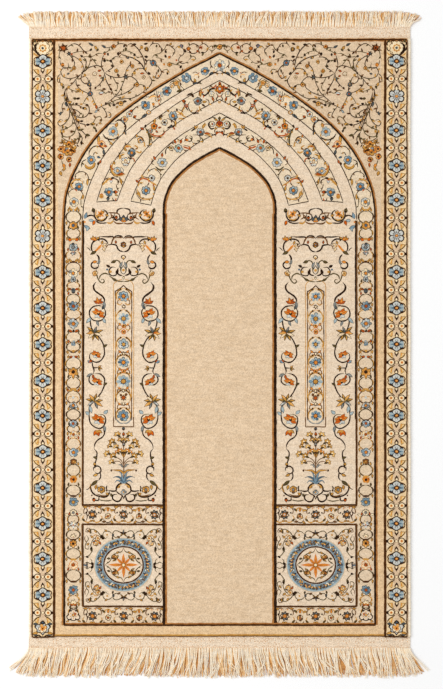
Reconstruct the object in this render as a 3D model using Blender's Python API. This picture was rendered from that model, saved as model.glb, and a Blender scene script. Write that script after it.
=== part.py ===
"""A prayer rug lying flat: piled cloth, overcast long edges and a fringed tape on each end.

Blender 4.5, metres, +Z up. The origin is on the underside, at the middle of the pile cloth.
+X runs across the rug and +Y along it, towards the top of the niche.
"""

import math
import random

import bpy

# Driving sizes of the cloth
RUG_WIDTH = 0.700
PILE_LENGTH = 1.098
RUG_HEIGHT = 0.005
SHORN_SLOPE = 0.0012  # the pile's two ends are shorn to a small slope
GAP = 0.0003

# Overcast yarn along the long edges
OVERCAST_WIDTH = 0.0045
OVERCAST_HEIGHT = 0.0042
OVERCAST_ARC_STEPS = 8

# The tape that carries each fringe: its inner edge is sewn under the end of the cloth
TAPE_THICKNESS = 0.002
TAPE_SHOWN = 0.0215
TAPE_LAP = 0.010

# Fringe: widths are shares of the pitch
STRAND_COUNT = 110
STRAND_ROOT_SHARE = 0.72
STRAND_TIP_SHARE = 0.46
STRAND_SWAY_SHARE = 0.30  # the most that a tip wanders to one side
STRAND_SHORTFALL = 0.10  # the shortest strand against the longest
FAN_REACH = 0.016  # how fast the fan at a corner dies out along the tape
FRINGES = [
    {"name": "fringe_top", "side": 1, "length": 0.029, "fan_deg": 58.0, "lean_deg": 2.0, "seed": 11},
    {"name": "fringe_bottom", "side": -1, "length": 0.053, "fan_deg": 33.0, "lean_deg": 9.0, "seed": 23},
]

# Finishes: linear colour, roughness
SAND_PILE = ((0.60, 0.44, 0.28), 0.95)
CREAM_YARN = ((0.80, 0.66, 0.48), 0.90)

PILE_WIDTH = RUG_WIDTH - 2 * (OVERCAST_WIDTH + GAP)


def clear_scene():
    for obj in list(bpy.data.objects):
        bpy.data.objects.remove(obj)


def yarn_material(name, finish):
    colour, roughness = finish
    material = bpy.data.materials.new(name)
    material.use_nodes = True
    shader = material.node_tree.nodes["Principled BSDF"]
    shader.inputs["Base Color"].default_value = (*colour, 1.0)
    shader.inputs["Roughness"].default_value = roughness
    shader.inputs["Metallic"].default_value = 0.0
    return material


def flat_outline(name, points, depth, material, collection):
    """A closed outline in its own XY plane, filled and extruded to the given depth about that plane."""
    curve = bpy.data.curves.new(name, "CURVE")
    curve.dimensions = "2D"
    curve.fill_mode = "BOTH"
    curve.extrude = depth / 2
    spline = curve.splines.new("POLY")
    spline.points.add(len(points) - 1)
    for point, (x, y) in zip(spline.points, points):
        point.co = (x, y, 0.0, 1.0)
    spline.use_cyclic_u = True
    obj = bpy.data.objects.new(name, curve)
    obj.data.materials.append(material)
    collection.objects.link(obj)
    return obj


def cloth_section():
    """The cloth seen from its side as (along, up): a slab with a rebate under each end for the tape."""
    end = PILE_LENGTH / 2
    inner = end - TAPE_LAP
    ceiling = TAPE_THICKNESS + GAP
    half = [
        (inner, 0.0),
        (inner, ceiling),
        (end, ceiling),
        (end, RUG_HEIGHT - SHORN_SLOPE),
        (end - SHORN_SLOPE, RUG_HEIGHT),
    ]
    return half + [(-along, up) for along, up in reversed(half)]


def make_cloth(material, collection):
    cloth = flat_outline("pile_cloth", cloth_section(), PILE_WIDTH, material, collection)
    # The section is turned to face along X: its own x runs along +Y and its y runs up.
    cloth.rotation_euler = (math.radians(90), 0.0, math.radians(90))
    return cloth


def overcast_section():
    """The wrapped edge seen from its end as (out, up): flat below and inside, round on the outer side."""
    radius = OVERCAST_HEIGHT / 2
    centre = OVERCAST_WIDTH - radius
    turns = [math.pi * (i / OVERCAST_ARC_STEPS - 0.5) for i in range(OVERCAST_ARC_STEPS + 1)]
    rounded = [(centre + radius * math.cos(turn), radius + radius * math.sin(turn)) for turn in turns]
    return [(0.0, 0.0), *rounded, (0.0, OVERCAST_HEIGHT)]


def make_overcast(name, side, material, collection):
    section = [(side * out, up) for out, up in overcast_section()]
    edge = flat_outline(name, section, PILE_LENGTH, material, collection)
    # The section is stood up: its own x stays along X and its y runs up.
    edge.rotation_euler = (math.radians(90), 0.0, 0.0)
    edge.location.x = side * (RUG_WIDTH / 2 - OVERCAST_WIDTH)
    return edge


def strand_angle(x, fringe):
    """How far a strand rooted at x leans outwards, in radians: a little overall, and most at a corner."""
    outwards = math.copysign(1.0, x)
    from_edge = RUG_WIDTH / 2 - abs(x)
    lean = fringe["lean_deg"] * abs(x) / (RUG_WIDTH / 2)
    fan = fringe["fan_deg"] * math.exp(-from_edge / FAN_REACH)
    return outwards * math.radians(lean + fan)


def strand_outline(x, base, fringe, chance):
    """One strand rooted at x on the line y = base: up its left side, across the tip and down its right."""
    pitch = RUG_WIDTH / STRAND_COUNT
    root = pitch * STRAND_ROOT_SHARE / 2
    tip = pitch * STRAND_TIP_SHARE / 2
    angle = strand_angle(x, fringe)
    length = fringe["length"] * (1.0 - STRAND_SHORTFALL * chance.random())
    sway = pitch * STRAND_SWAY_SHARE * chance.uniform(-1.0, 1.0)
    # The lower half of a strand leans less than the whole, and sways the other way.
    middle_x = x + length / 2 * math.sin(0.7 * angle) - sway / 2
    middle_y = base + length / 2 * math.cos(0.7 * angle)
    tip_x = x + length * math.sin(angle) + sway
    tip_y = base + length * math.cos(angle)
    stations = [(x, base, root), (middle_x, middle_y, (root + tip) / 2), (tip_x, tip_y, tip)]
    left = [(px - width, py) for px, py, width in stations]
    right = [(px + width, py) for px, py, width in reversed(stations)]
    return left + right


def comb_outline(fringe):
    """The tape and its strands as one outline, as (across, along), with along growing outwards."""
    chance = random.Random(fringe["seed"])
    half = RUG_WIDTH / 2
    inner = PILE_LENGTH / 2 - TAPE_LAP + GAP
    shoulder = PILE_LENGTH / 2 + GAP
    outer = PILE_LENGTH / 2 + TAPE_SHOWN
    pitch = RUG_WIDTH / STRAND_COUNT
    points = [(-PILE_WIDTH / 2, inner), (-PILE_WIDTH / 2, shoulder), (-half, shoulder), (-half, outer)]
    for index in range(STRAND_COUNT):
        points += strand_outline(-half + pitch * (index + 0.5), outer, fringe, chance)
    points += [(half, outer), (half, shoulder), (PILE_WIDTH / 2, shoulder), (PILE_WIDTH / 2, inner)]
    return points


def make_fringe(fringe, material, collection):
    outline = [(x, fringe["side"] * y) for x, y in comb_outline(fringe)]
    comb = flat_outline(fringe["name"], outline, TAPE_THICKNESS, material, collection)
    comb.location.z = TAPE_THICKNESS / 2
    return comb


def main():
    clear_scene()
    rug = bpy.data.collections.new("prayer_rug")
    bpy.context.scene.collection.children.link(rug)
    pile = yarn_material("sand_pile", SAND_PILE)
    yarn = yarn_material("cream_yarn", CREAM_YARN)
    make_cloth(pile, rug)
    make_overcast("overcast_left", -1, yarn, rug)
    make_overcast("overcast_right", 1, yarn, rug)
    for fringe in FRINGES:
        make_fringe(fringe, yarn, rug)


main()
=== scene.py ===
"""The looks of a prayer rug that lies flat: patterned pile, overcast long edges, woven tapes and fringes.

The pattern is drawn in millimetres from the middle of the rug, x across it and y towards the top of the
niche. What is drawn in one yarn becomes one mesh: each petal, leaf or line is a low step of pile that
stands a little above what was drawn before it. The charts hold the left half, and the right is its mirror.
"""

import math
import random

import bpy
import numpy as np
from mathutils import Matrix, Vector

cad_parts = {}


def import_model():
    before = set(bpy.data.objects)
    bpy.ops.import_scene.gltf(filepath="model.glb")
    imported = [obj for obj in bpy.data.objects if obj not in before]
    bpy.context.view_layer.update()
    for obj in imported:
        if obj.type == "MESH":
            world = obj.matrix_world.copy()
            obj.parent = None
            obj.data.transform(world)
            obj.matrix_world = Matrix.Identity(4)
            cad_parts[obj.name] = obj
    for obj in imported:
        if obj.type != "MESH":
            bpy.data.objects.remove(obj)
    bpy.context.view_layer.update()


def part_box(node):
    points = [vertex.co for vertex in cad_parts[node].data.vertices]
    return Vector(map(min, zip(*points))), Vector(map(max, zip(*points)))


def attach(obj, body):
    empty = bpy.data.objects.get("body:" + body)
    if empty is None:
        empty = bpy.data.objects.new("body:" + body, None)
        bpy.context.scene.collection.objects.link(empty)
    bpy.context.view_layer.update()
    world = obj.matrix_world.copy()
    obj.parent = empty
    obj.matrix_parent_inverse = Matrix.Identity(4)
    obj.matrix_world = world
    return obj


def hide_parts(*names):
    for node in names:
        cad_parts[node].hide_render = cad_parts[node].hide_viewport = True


MM = 0.001

# Heights, in millimetres
PILE_GROUND = 4.45  # the top of the plain pile
LIFT = 0.09  # from one level of the drawing to the next
SERIAL_LIFT = 0.003  # keeps two shapes of one level from lying in one plane
SERIALS = 10  # how many such heights there are
FIELD_LEVEL = 0.2  # levels of the plain grounds: the field and its borders, the bands, the niche
BAND_LEVEL = 0.6
NICHE_LEVEL = 0.9
FLANK = 0.16  # how far the side of a step slopes out
FLANK_DEPTH = 0.25  # how far below the plain pile that side ends

# Cloth: its columns of points, and the section of its end from the rebate for the tape to the pile, as
# how far in from the end and how high
TAPE_LAP = 10.0
REBATE_TOP = 2.3
CLOTH_COLUMNS = 116
CLOTH_END = [
    (TAPE_LAP, 0.0), (TAPE_LAP, REBATE_TOP), (0.3, REBATE_TOP), (0.0, 2.9), (0.3, 3.75), (1.2, PILE_GROUND),
]

# Overcast edges
OVERCAST_SIDES = 10
OVERCAST_STEP = 0.62  # from one ring of points to the next
OVERCAST_SWELL_X = 0.15  # how much fuller than the plain strip
OVERCAST_SWELL_Z = 0.1
TURN_PITCH = 2.5  # from one turn of the yarn to the next
TURN_RIDGE = 0.09

# Tapes
TAPE_TOP = 2.0
TAPE_SHOWN = 21.5
TAPE_ROW = 1.1  # from one row of points to the next, along the rug
TAPE_COLUMN = 0.933  # and from one column to the next
TAPE_MIDDLE = 1.6  # the mean height of its upper side
TAPE_INSET = 5.0  # how much narrower it is under the cloth, at each side
RIB_PITCH = 2.8  # of the ribs that run along the rug, and of the picks that cross them
PICK_PITCH = 4.4
RIB_HEIGHT = 0.2
PICK_HEIGHT = 0.18
STITCH_RADIUS = 0.42
# How far from the pile each row of stitches runs, and the share of its places that has one
STITCH_ROWS = [(4.2, 0.5), (8.6, 0.35), (13.0, 0.15), (18.2, 0.6)]

# Fringes: lengths in millimetres, and how they fan out, lean and swing in degrees
FAN_REACH = 16.0  # how fast the fan at a corner dies out along the tape
FRINGES = [
    {"name": "fringe_top", "side": 1, "length": 29.8, "fan": 58.0, "lean": 2.0, "swing": 8.0, "seed": 5},
    {"name": "fringe_bottom", "side": -1, "length": 56.0, "fan": 33.0, "lean": 9.0, "swing": 14.0, "seed": 9},
]
# What a layer of the fringe is called, the pitch of its locks, the yarns in each, their radius, how long
# they are against the whole fringe, and how much they stray
# The lower layers are darker as painted shade: the honey under the locks stands for the shade between them,
# and the middle layer's cord is the fringe yarn half shaded.
FRINGE_LAYERS = [
    ("under", 1.5, 1, 0.92, 0.95, 0.35),
    ("middle", 3.9, 2, 0.75, 0.98, 0.9),
    ("over", 5.2, 3, 0.72, 1.0, 1.1),
]
CORNER_LOCKS = 5  # so many more at each corner
SWING_LENGTH = 105.0
LOOSE_LENGTH = 54.0  # of a fringe whose locks bend by the full amount
STRAND_STEPS = 10
STRAND_SIDES = 5
STRAND_GAP = 1.4  # between the yarns of one lock
CORNER_GAP = 0.6  # from a corner to the nearest root
ROOT_LAP = 1.0  # how far the yarns reach over the tape's edge
ROOT_HEIGHT = 1.07
LAYER_RISE = 0.6
LOWEST_YARN = 0.75  # the least height of a yarn's middle

# Layout lines, in millimetres from the middle of the rug
RUG_HALF = 350.0
PILE_END = 549.0
BORDER_OUTER = 343.3
BORDER_MIDDLE = 324.2
BORDER_INNER = 303.4
FRAME_LINE = 284.5
PANEL_LINE = 248.6
NICHE_LINE = 102.5
TOP_LINE = 545.4
BASE_LINE = -527.3
BORDER_END = -549.3
INNER_BAND_X = -268.0  # middle of the long flower band between frame and panel
PANEL_AXIS = -176.0  # middle of the left panel
SQUARE_TOP = -342.8
SQUARE_END = -493.3
PANEL_END = -307.2
# Middles of the cross bands above and below the square, and the eyes of their rosettes
CROSS_BANDS = [(-325, ("apricot", "pearl", "pearl")), (-511, ("amber", "amber", "amber"))]

STROKE_WEIGHT = 1.3  # how much wider than charted a tendril is woven

# Light and floor, in metres and watts
KEY_PLACE = (-2.3, 0.35, 2.1)
KEY_SIZE = 1.6
KEY_POWER = 54
SKY_STRENGTH = 0.78
FLOOR_SIZE = 12
FLOOR_DROP = 0.0002
FLOOR_WHITE = 0.94
LIGHT_LEVEL = 1.08  # how bright a white floor is in this light

# Camera: the length of rug and floor in view, where its middle is and how high, in millimetres
VIEW_HEIGHT = 1262.5925
VIEW_MIDDLE = (3.5, -13.2)
VIEW_LEVEL = 4.5
LENS = 85
SENSOR_HEIGHT = 36

# Long borders: where the flowers sit and which are white, and the places of those at the two ends
BORDER_FLOWERS = [
    505.6, 441.5, 379.0, 314.5, 251.5, 186.0, 119.3, 53.6,
    -13.0, -79.5, -143.5, -209.5, -276.0, -341.5, -406.0, -472.0,
]
WHITE_BORDER_FLOWERS = (441.5, 186.0)
BORDER_FLOWER_SIZE = 0.96
CORNER_FLOWER_Y = 530.0
FOOT_FLOWER_Y = -533.5
LAST_LINK_END = -537.0


# ---------------------------------------------------------------- drawing kit


class Pen:
    """Its own axes on the rug: where a motif is drawn, how it is turned, its size, hand and level."""

    def __init__(self, matrix=((1.0, 0.0, 0.0), (0.0, 1.0, 0.0)), level=0.0):
        self.matrix = np.array(matrix, float)
        self.level = level

    def at(self, x=0.0, y=0.0, turn=0.0, size=1.0, mirror=False, level=0.0):
        """A pen at x, y of this one, turned anticlockwise by so many degrees."""
        cos, sin = math.cos(math.radians(turn)), math.sin(math.radians(turn))
        hand = -1.0 if mirror else 1.0
        own = np.array([[size * cos * hand, -size * sin, x], [size * sin * hand, size * cos, y], [0, 0, 1]])
        return Pen(self.matrix @ own, self.level + level)

    def place(self, points):
        points = np.asarray(points, float).reshape(-1, 2)
        return points @ self.matrix[:, :2].T + self.matrix[:, 2]

    def scale(self):
        return math.sqrt(abs(np.linalg.det(self.matrix[:, :2])))


def both_sides(pen=None):
    """The pen itself and its mirror image: for the left and the right half."""
    pen = pen or Pen()
    return pen, pen.at(mirror=True)


class Yarn:
    """All that is made of one yarn: the corners and faces of one mesh."""

    def __init__(self):
        self.corners = []
        self.faces = []
        self.count = 0

    def add(self, corners, faces):
        first = self.count
        self.corners.append(corners)
        self.faces += [tuple(first + i for i in face) for face in faces]
        self.count += len(corners)


YARNS = {}
SERIAL = [0]


def settle(points):
    """Pulls points about a little, alike for all that lies in one place, as no woven line is quite true."""
    x, y = points[:, 0], points[:, 1]
    across = 0.22 * np.sin(y / 39.0 + 1.3) + 0.16 * np.sin(y / 7.1 + x / 23.0)
    along = 0.22 * np.sin(x / 41.0 + 0.4) + 0.16 * np.sin(x / 8.3 - y / 29.0)
    across = across + 0.13 * np.sin(y / 2.3 + x / 5.1)
    along = along + 0.13 * np.sin(x / 2.6 - y / 4.3)
    return np.stack([x + across, y + along], 1)


def heights(level):
    """The top of the next step at a level, and the foot of its sloping side."""
    SERIAL[0] += 1
    top = PILE_GROUND + LIFT * level + SERIAL_LIFT * (SERIAL[0] % SERIALS)
    return top, top - LIFT * level - FLANK_DEPTH


def with_height(points, height):
    return np.column_stack([points, np.full(len(points), height)]) * MM


def unit(vectors):
    return vectors / np.maximum(np.linalg.norm(vectors, axis=1, keepdims=True), 1e-9)


def patch(pen, yarn, outline, level):
    """A closed outline as a step of pile with sloping sides."""
    points = settle(pen.place(outline))
    following = np.roll(points, -1, 0)
    if np.sum(points[:, 0] * following[:, 1] - following[:, 0] * points[:, 1]) < 0:
        points = points[::-1]
        following = np.roll(points, -1, 0)
    ahead = unit(following - points)
    heading = unit(ahead + np.roll(ahead, 1, 0))
    outward = np.stack([heading[:, 1], -heading[:, 0]], 1)
    top, foot = heights(pen.level + level)
    n = len(points)
    corners = np.concatenate([with_height(points, top), with_height(points + FLANK * outward, foot)])
    faces = [tuple(range(n))]
    faces += [(i, i + n, (i + 1) % n + n, (i + 1) % n) for i in range(n)]
    YARNS.setdefault(yarn, Yarn()).add(corners, faces)


def ribbon(pen, yarn, path, width, level, taper=(0.0, 0.0), closed=False):
    """A line along path. taper is how much of it narrows to a point at its start and at its end."""
    points = settle(pen.place(path))
    n = len(points)
    if closed:
        heading = unit(np.roll(points, -1, 0) - np.roll(points, 1, 0))
    else:
        heading = unit(np.gradient(points, axis=0))
    sideways = np.stack([-heading[:, 1], heading[:, 0]], 1)
    half = np.full(n, width * pen.scale() / 2)
    half *= 1 + 0.1 * np.sin(points.sum(1) / 3.1) + 0.08 * np.sin(points[:, 0] / 1.7 - points[:, 1] / 2.3)
    share = np.linspace(0, 1, n)
    start, end = taper
    if start:
        half *= np.clip(share / start, 0.16, 1) ** 0.8
    if end:
        half *= np.clip((1 - share) / end, 0.16, 1) ** 0.8
    left, right = points + sideways * half[:, None], points - sideways * half[:, None]
    top, foot = heights(pen.level + level)
    corners = np.concatenate(
        [
            with_height(left + FLANK * sideways, foot),
            with_height(left, top),
            with_height(right, top),
            with_height(right - FLANK * sideways, foot),
        ]
    )
    faces = []
    for i in range(n if closed else n - 1):
        j = (i + 1) % n
        faces += [(i + n * k, i + n * k + n, j + n * k + n, j + n * k) for k in range(3)]
    if not closed:
        faces += [(0, 3 * n, 2 * n, n), (n - 1, 2 * n - 1, 3 * n - 1, 4 * n - 1)]
    YARNS.setdefault(yarn, Yarn()).add(corners, faces)


# ---------------------------------------------------------------- outlines


def smooth(points, step=3.0):
    """A smooth line through the given points, with a point about every step millimetres."""
    p = np.asarray(points, float)
    p = np.vstack([2 * p[0] - p[1], p, 2 * p[-1] - p[-2]])
    line = []
    for a, b, c, d in zip(p, p[1:], p[2:], p[3:]):
        count = max(2, int(np.linalg.norm(c - b) / step) + 1)
        for t in np.arange(count) / count:
            bend = (2 * a - 5 * b + 4 * c - d) * t**2 + (3 * b - a - 3 * c + d) * t**3
            line.append(0.5 * (2 * b + (c - a) * t + bend))
    line.append(p[-2])
    return np.array(line)


def rounded(points, step=3.0):
    """A smooth closed outline through the given points."""
    p = [points[-1], *points, points[0], points[1]]
    line = smooth(p, step)
    first = np.argmin(np.linalg.norm(line - np.array(points[0], float), axis=1))
    last = len(line) - 1 - np.argmin(np.linalg.norm(line[::-1] - np.array(points[0], float), axis=1))
    return line[first:last]


def straight(start, end, step=4.0):
    start, end = np.array(start, float), np.array(end, float)
    count = max(2, int(np.linalg.norm(end - start) / step) + 1)
    return start + (end - start) * np.linspace(0, 1, count)[:, None]


def arc(x, y, radius, start, end, step, squash=1.0):
    """Part of a circle, from one angle to another in degrees, or of an ellipse if it is squashed in y."""
    count = max(3, int(abs(end - start) / step) + 1)
    turns = np.radians(np.linspace(start, end, count))
    return np.stack([x + radius * np.cos(turns), y + squash * radius * np.sin(turns)], 1)


def disc(radius, x=0.0, y=0.0, squash=1.0, step=30.0):
    return arc(x, y, radius, 0, 360 - step, step, squash)


def rectangle(x0, y0, x1, y1):
    corners = [(x0, y0), (x1, y0), (x1, y1), (x0, y1)]
    sides = [straight(a, b, 6.0)[:-1] for a, b in zip(corners, corners[1:] + corners[:1])]
    return np.concatenate(sides)


def lobed(radius, lobes, depth, turn=0.0, per_lobe=6):
    """A round outline with so many lobes, the first of them towards +y."""
    turns = np.linspace(0, 2 * math.pi, lobes * per_lobe, endpoint=False)
    wave = np.abs(np.cos(lobes / 2 * (turns - math.radians(turn + 90))))
    reach = radius * (1 - depth + depth * wave**0.7)
    return np.stack([reach * np.cos(turns), reach * np.sin(turns)], 1)


def teardrop(length, width, point):
    """A petal from the origin along +y. The larger point is, the sharper is its far end."""
    t = np.linspace(0, 1, 8)
    side = width / 2 * np.sin(math.pi * t**0.8) ** (0.6 + point * t)
    side[0] = side[-1] = 0.0
    right = np.stack([side, length * t], 1)
    left = np.stack([-side[-2:0:-1], length * t[-2:0:-1]], 1)
    return np.concatenate([right, left])


def petal_outline(length, width):
    """A petal from the origin along +y, blunt and widest near its far end."""
    half = [(0.0, 0.0), (0.3, 0.35), (0.5, 0.65), (0.42, 0.9)]
    points = half + [(0.0, 1.0)] + [(-x, y) for x, y in half[:0:-1]]
    return np.array(points) * (width, length)


def blade(length, width, bend=0.0, start=0.0):
    """A leaf from start along +y, bent to its left by a share of its length."""
    t = np.linspace(0, 1, 7)
    side = width / 2 * np.sin(math.pi * t**0.85)
    middle = -bend * length * t**2
    side[0] = side[-1] = 0.0
    along = start + (length - start) * t
    right = np.stack([middle + side, along], 1)
    left = np.stack([middle[-2:0:-1] - side[-2:0:-1], along[-2:0:-1]], 1)
    return np.concatenate([right, left])


# ---------------------------------------------------------------- motifs


# The yarn of the tips of a petal
PALER = {
    "slate": "ash", "ash": "pearl", "pearl": "ivory", "ivory": "linen", "sand": "ivory", "straw": "ivory",
    "denim": "sky", "sky": "mist", "mist": "pearl", "corn": "straw", "gold": "apricot", "apricot": "ivory",
    "amber": "apricot", "ember": "amber", "rust": "amber", "umber": "gold", "olive": "gold",
}


def stroke(pen, yarn, width, points):
    """A tendril through the given points, fine at both ends."""
    ribbon(pen, yarn, smooth(points), width * STROKE_WEIGHT, 2, (0.16, 0.22))


def dot(pen, radius, yarn, level=3):
    patch(pen, yarn, disc(radius, step=45), level)


def berry(pen, radius, yarn, husk="ink"):
    """A round bud with a dark husk on the side it hangs from."""
    patch(pen, husk, disc(radius * 0.9, 0, radius * 0.55, step=45), 2)
    patch(pen, yarn, disc(radius, step=36), 3)
    patch(pen, husk, disc(radius * 0.3, radius * 0.2, -radius * 0.2, step=72), 4)


def leaf(pen, length, width, yarn, bend=0.0, rim="ink"):
    """A leaf along +y with a dark edge."""
    patch(pen, rim, blade(length + 1.0, width + 1.5, bend * length / (length + 1.0)), 2)
    patch(pen, yarn, blade(length - 0.3, width, bend, 0.7), 3)


def bud(pen, length, yarn, cup):
    """A closed flower along +y in its cup."""
    patch(pen, "ink", teardrop(length + 0.8, length * 0.62 + 1.2, 0.6), 2)
    patch(pen, yarn, teardrop(length - 0.2, length * 0.62, 0.6), 3)
    patch(pen, cup, teardrop(length * 0.45, length * 0.5, 0.2), 4)


def blossom(pen, radius, petal, eye, petals, rim, heart="denim"):
    """A flower seen from above: uneven edged petals in shades of one yarn, round a ringed eye."""
    chance = random.Random(round(10 * np.abs(pen.place((0, 0))).sum()))
    width = 4.2 / petals * radius
    for i in range(petals):
        tip = pen.at(turn=360 / petals * i + chance.uniform(-6, 6))
        reach = radius * chance.uniform(0.86, 1.1)
        shade = chance.choice((petal, petal, heart, PALER[petal], PALER[petal]))
        patch(tip, rim, petal_outline(reach + 0.9, width + 1.2), 2)
        patch(tip, shade, petal_outline(reach - 0.3, width - 0.4), 3)
    patch(pen, heart, lobed(radius * 0.6, petals, 0.5, 0, 4), 4)
    patch(pen, PALER[petal], lobed(radius * 0.5, petals, 0.7, 180 / petals, 4), 5)
    patch(pen, "bark", disc(radius * 0.4), 6)
    patch(pen, eye, disc(radius * 0.3, step=45), 7)


def rosette(pen, radius, eye):
    """A dark flower of many petals with a rust heart."""
    for i in range(8):
        petal = pen.at(turn=45 * i + 10)
        patch(petal, "ink", teardrop(radius + 0.8, radius * 0.7, 0.1), 2)
        patch(petal, ("ash", "umber", "sand", "slate")[i % 4], teardrop(radius * 0.9, radius * 0.4, 0.2), 3)
    patch(pen, "bark", lobed(radius * 0.54, 8, 0.2, per_lobe=3), 4)
    patch(pen, "cinnamon", lobed(radius * 0.42, 8, 0.3, per_lobe=3), 5)
    patch(pen, "amber", disc(radius * 0.28, step=45), 5.5)
    patch(pen, eye, disc(radius * 0.2, step=60), 6)


def star_flower(pen, radius, yarn, eye):
    """A small flower of narrow spiky petals."""
    for i in range(6):
        patch(pen.at(turn=60 * i + 12), yarn, blade(radius, radius * 0.42), 3)
    dot(pen, radius * 0.34, eye, 4)


def crescent(pen, radius, yarn):
    """A half-moon of leaf, open towards +y."""
    outer = arc(0, 0, radius, 190, 350, 16)
    inner = arc(0, radius * 0.34, radius * 0.86, 345, 195, 16)
    patch(pen, "bark", np.concatenate([outer * 1.06, inner]), 2)
    patch(pen, yarn, np.concatenate([outer * 0.97, inner * (0.95, 1.0)]), 3)


def ring(pen, radius_x, radius_y, yarn, width, gap):
    """A loop of stem round a plain space, open at the top by so many degrees."""
    squash = radius_y / radius_x
    for hand in (False, True):
        half = pen.at(mirror=hand)
        ribbon(half, yarn, arc(0, 0, radius_x, 90 - gap / 2, -84, 15, squash), width, 2, (0.12, 0.2))


def knot(pen, radius, yarn, heart):
    """A pair of curls back to back, with a bud between them."""
    for hand in (False, True):
        half = pen.at(mirror=hand)
        ribbon(half, yarn, arc(radius * 0.62, 0, radius * 0.6, 200, -60, 24), 1.2, 2, (0.2, 0.2))
    dot(pen.at(0, radius * 0.35), radius * 0.32, heart)


def spray(pen, *leaves):
    """Slender leaves from one point: the turn, length and yarn of each."""
    for turn, length, yarn in leaves:
        bend = 0.14 if turn > 0 else -0.14
        leaf(pen.at(turn=turn), length, length * 0.28, yarn, bend, "bark")
        if yarn in PALER:
            patch(pen.at(turn=turn), PALER[yarn], blade(length * 0.94, length * 0.16, bend, length * 0.4), 4)


def fleur(pen, length, yarn, side_yarn):
    """Three leaves side by side, as of a half open flower."""
    leaves = ((68, 0.85, side_yarn), (-68, 0.85, side_yarn), (26, 0.9, side_yarn), (-20, 1.0, yarn))
    for turn, share, colour in leaves:
        leaf(pen.at(turn=turn), length * share, length * 0.36, colour, 0.1, "bark")
    dot(pen, length * 0.16, "rust", 4)


def sprout(pen, points, spacing, yarns, seed, length):
    """Little leaves on alternate sides of a tendril."""
    chance = random.Random(seed)
    line = smooth(points, 1.0)
    steps = np.concatenate([[0.0], np.cumsum(np.linalg.norm(np.diff(line, axis=0), axis=1))])
    hand = chance.choice((-1, 1))
    for reach in np.arange(spacing * chance.uniform(0.4, 0.9), steps[-1], spacing):
        i = int(np.searchsorted(steps, reach))
        ahead = line[min(i + 1, len(line) - 1)] - line[i - 1]
        turn = math.degrees(math.atan2(ahead[1], ahead[0])) - 90 + hand * chance.uniform(28, 60)
        own = length * chance.uniform(0.75, 1.25)
        patch(pen.at(*line[i], turn), chance.choice(yarns), blade(own, own * 0.42, 0.14 * hand), 3)
        hand = -hand


def draw_vines(pen, vines):
    """The tendrils of a chart: the yarn, width and points of each."""
    for yarn, width, points in vines:
        stroke(pen, yarn, width, points)


def draw_motifs(pen, motifs, size=1.0):
    """The flowers and leaves of a chart: the kind, place and turn of each, and how it is made."""
    for motif, x, y, turn, *how in motifs:
        motif(pen.at(x, y, turn, size), *how)


def draw_scrolls(pen, vines, motifs, weight, size, spacing, yarns, length):
    """A chart of tendrils that carry little leaves, and the motifs among them."""
    for number, (yarn, width, points) in enumerate(vines):
        stroke(pen, yarn, width * weight, points)
        sprout(pen, points, spacing, yarns, number, length)
    draw_motifs(pen, motifs, size)


# ---------------------------------------------------------------- outer border


def border_petals(pen):
    """The two blue petals at the sides of a border flower, and the curled edge beyond them."""
    petal = [
        (3, 0), (5, 5.0), (9, 6.6), (12.4, 5.6), (14.2, 2.6), (12.8, 0.2),
        (14.0, -2.4), (12.2, -5.4), (8.6, -6.4), (5, -5.0),
    ]
    edge = [
        (7, 9.8), (12, 8.4), (15.8, 6), (16.6, 2.4), (15.0, 0.2),
        (16.2, -2.0), (15.8, -5.8), (12, -8.6), (7, -10),
    ]
    for half in both_sides(pen):
        ribbon(half, "bark", smooth(edge, 2), 1.9, 2)
        patch(half, "ink", [(3, 3), (4, 12), (7.4, 10.4), (13.4, 8.6), (13, 5.4)], 1)
        patch(half, "ink", [(3, -3), (4, -12), (7, -10.8), (14, -9.0), (13.6, -5.6)], 1)
        patch(half, "sky", rounded(petal, 2), 3)
        patch(half, "mist", rounded([(x * 0.84 + 2.4, y * 0.78) for x, y in petal], 2), 4)
        patch(half, "sky", [(5, 1.6), (10.6, 1.6), (12.4, 0), (10.4, -1.6), (5, -1.6)], 5)
        patch(half, "denim", [(4.4, 2.0), (8.4, 0.9), (8.4, -0.9), (4.4, -2.0)], 6)


def border_flower(pen, white):
    """The flower of the long borders, with a bud above and below it."""
    for turn in (0, 180):
        bud_pen = pen.at(turn=turn).at(0, 11.0)
        patch(bud_pen, "bark", teardrop(13.4, 7.8, 0.8), 1)
        patch(bud_pen, "ivory", teardrop(9.2, 4.0, 0.6), 2)
        patch(bud_pen.at(0, 7.4), "ink", blade(5.4, 3.2), 3)
    if white:
        for i in range(6):
            petal = pen.at(turn=60 * i)
            reach = 15.6 if i % 3 else 13.8
            patch(petal, "ink", petal_outline(reach + 0.8, 12.8), 1)
            patch(petal, "pearl", petal_outline(reach - 1.4, 8.6), 3)
            patch(petal.at(0, 4.4), "ash", teardrop(4.6, 3.4, 0.2), 4)
            patch(pen.at(turn=60 * i + 30), "bark", blade(12.4, 1.5, 0, 3), 4)
    else:
        border_petals(pen)
        top = [
            (0, 13.4), (-4.2, 11.6), (-7.6, 9.2), (-7.4, 5.6), (-2, 1),
            (2, 1), (7.4, 5.6), (7.6, 9.2), (4.2, 11.6),
        ]
        for turn in (0, 180):
            petal = pen.at(turn=turn)
            patch(petal, "ink", [(x * 1.14, y * 1.08) for x, y in top], 4.6)
            patch(petal, "pearl", rounded([(x * 0.86, y * 0.93) for x, y in top], 2.5), 6)
            patch(petal.at(0, 4.2), "ash", teardrop(6.0, 6.0, 0.2), 7)
            patch(petal.at(0, 5.6), "pearl", teardrop(4.8, 3.2, 0.2), 8)
        patch(pen, "bark", disc(5.2, squash=0.9), 9)
        patch(pen, "ink", disc(4.4, squash=0.86), 10)
    patch(pen, "umber", disc(3.4, squash=0.86), 10)
    patch(pen, "amber", disc(2.7, squash=0.8), 11)
    patch(pen, "apricot", disc(1.5, -0.4, 0.3), 12)


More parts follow.
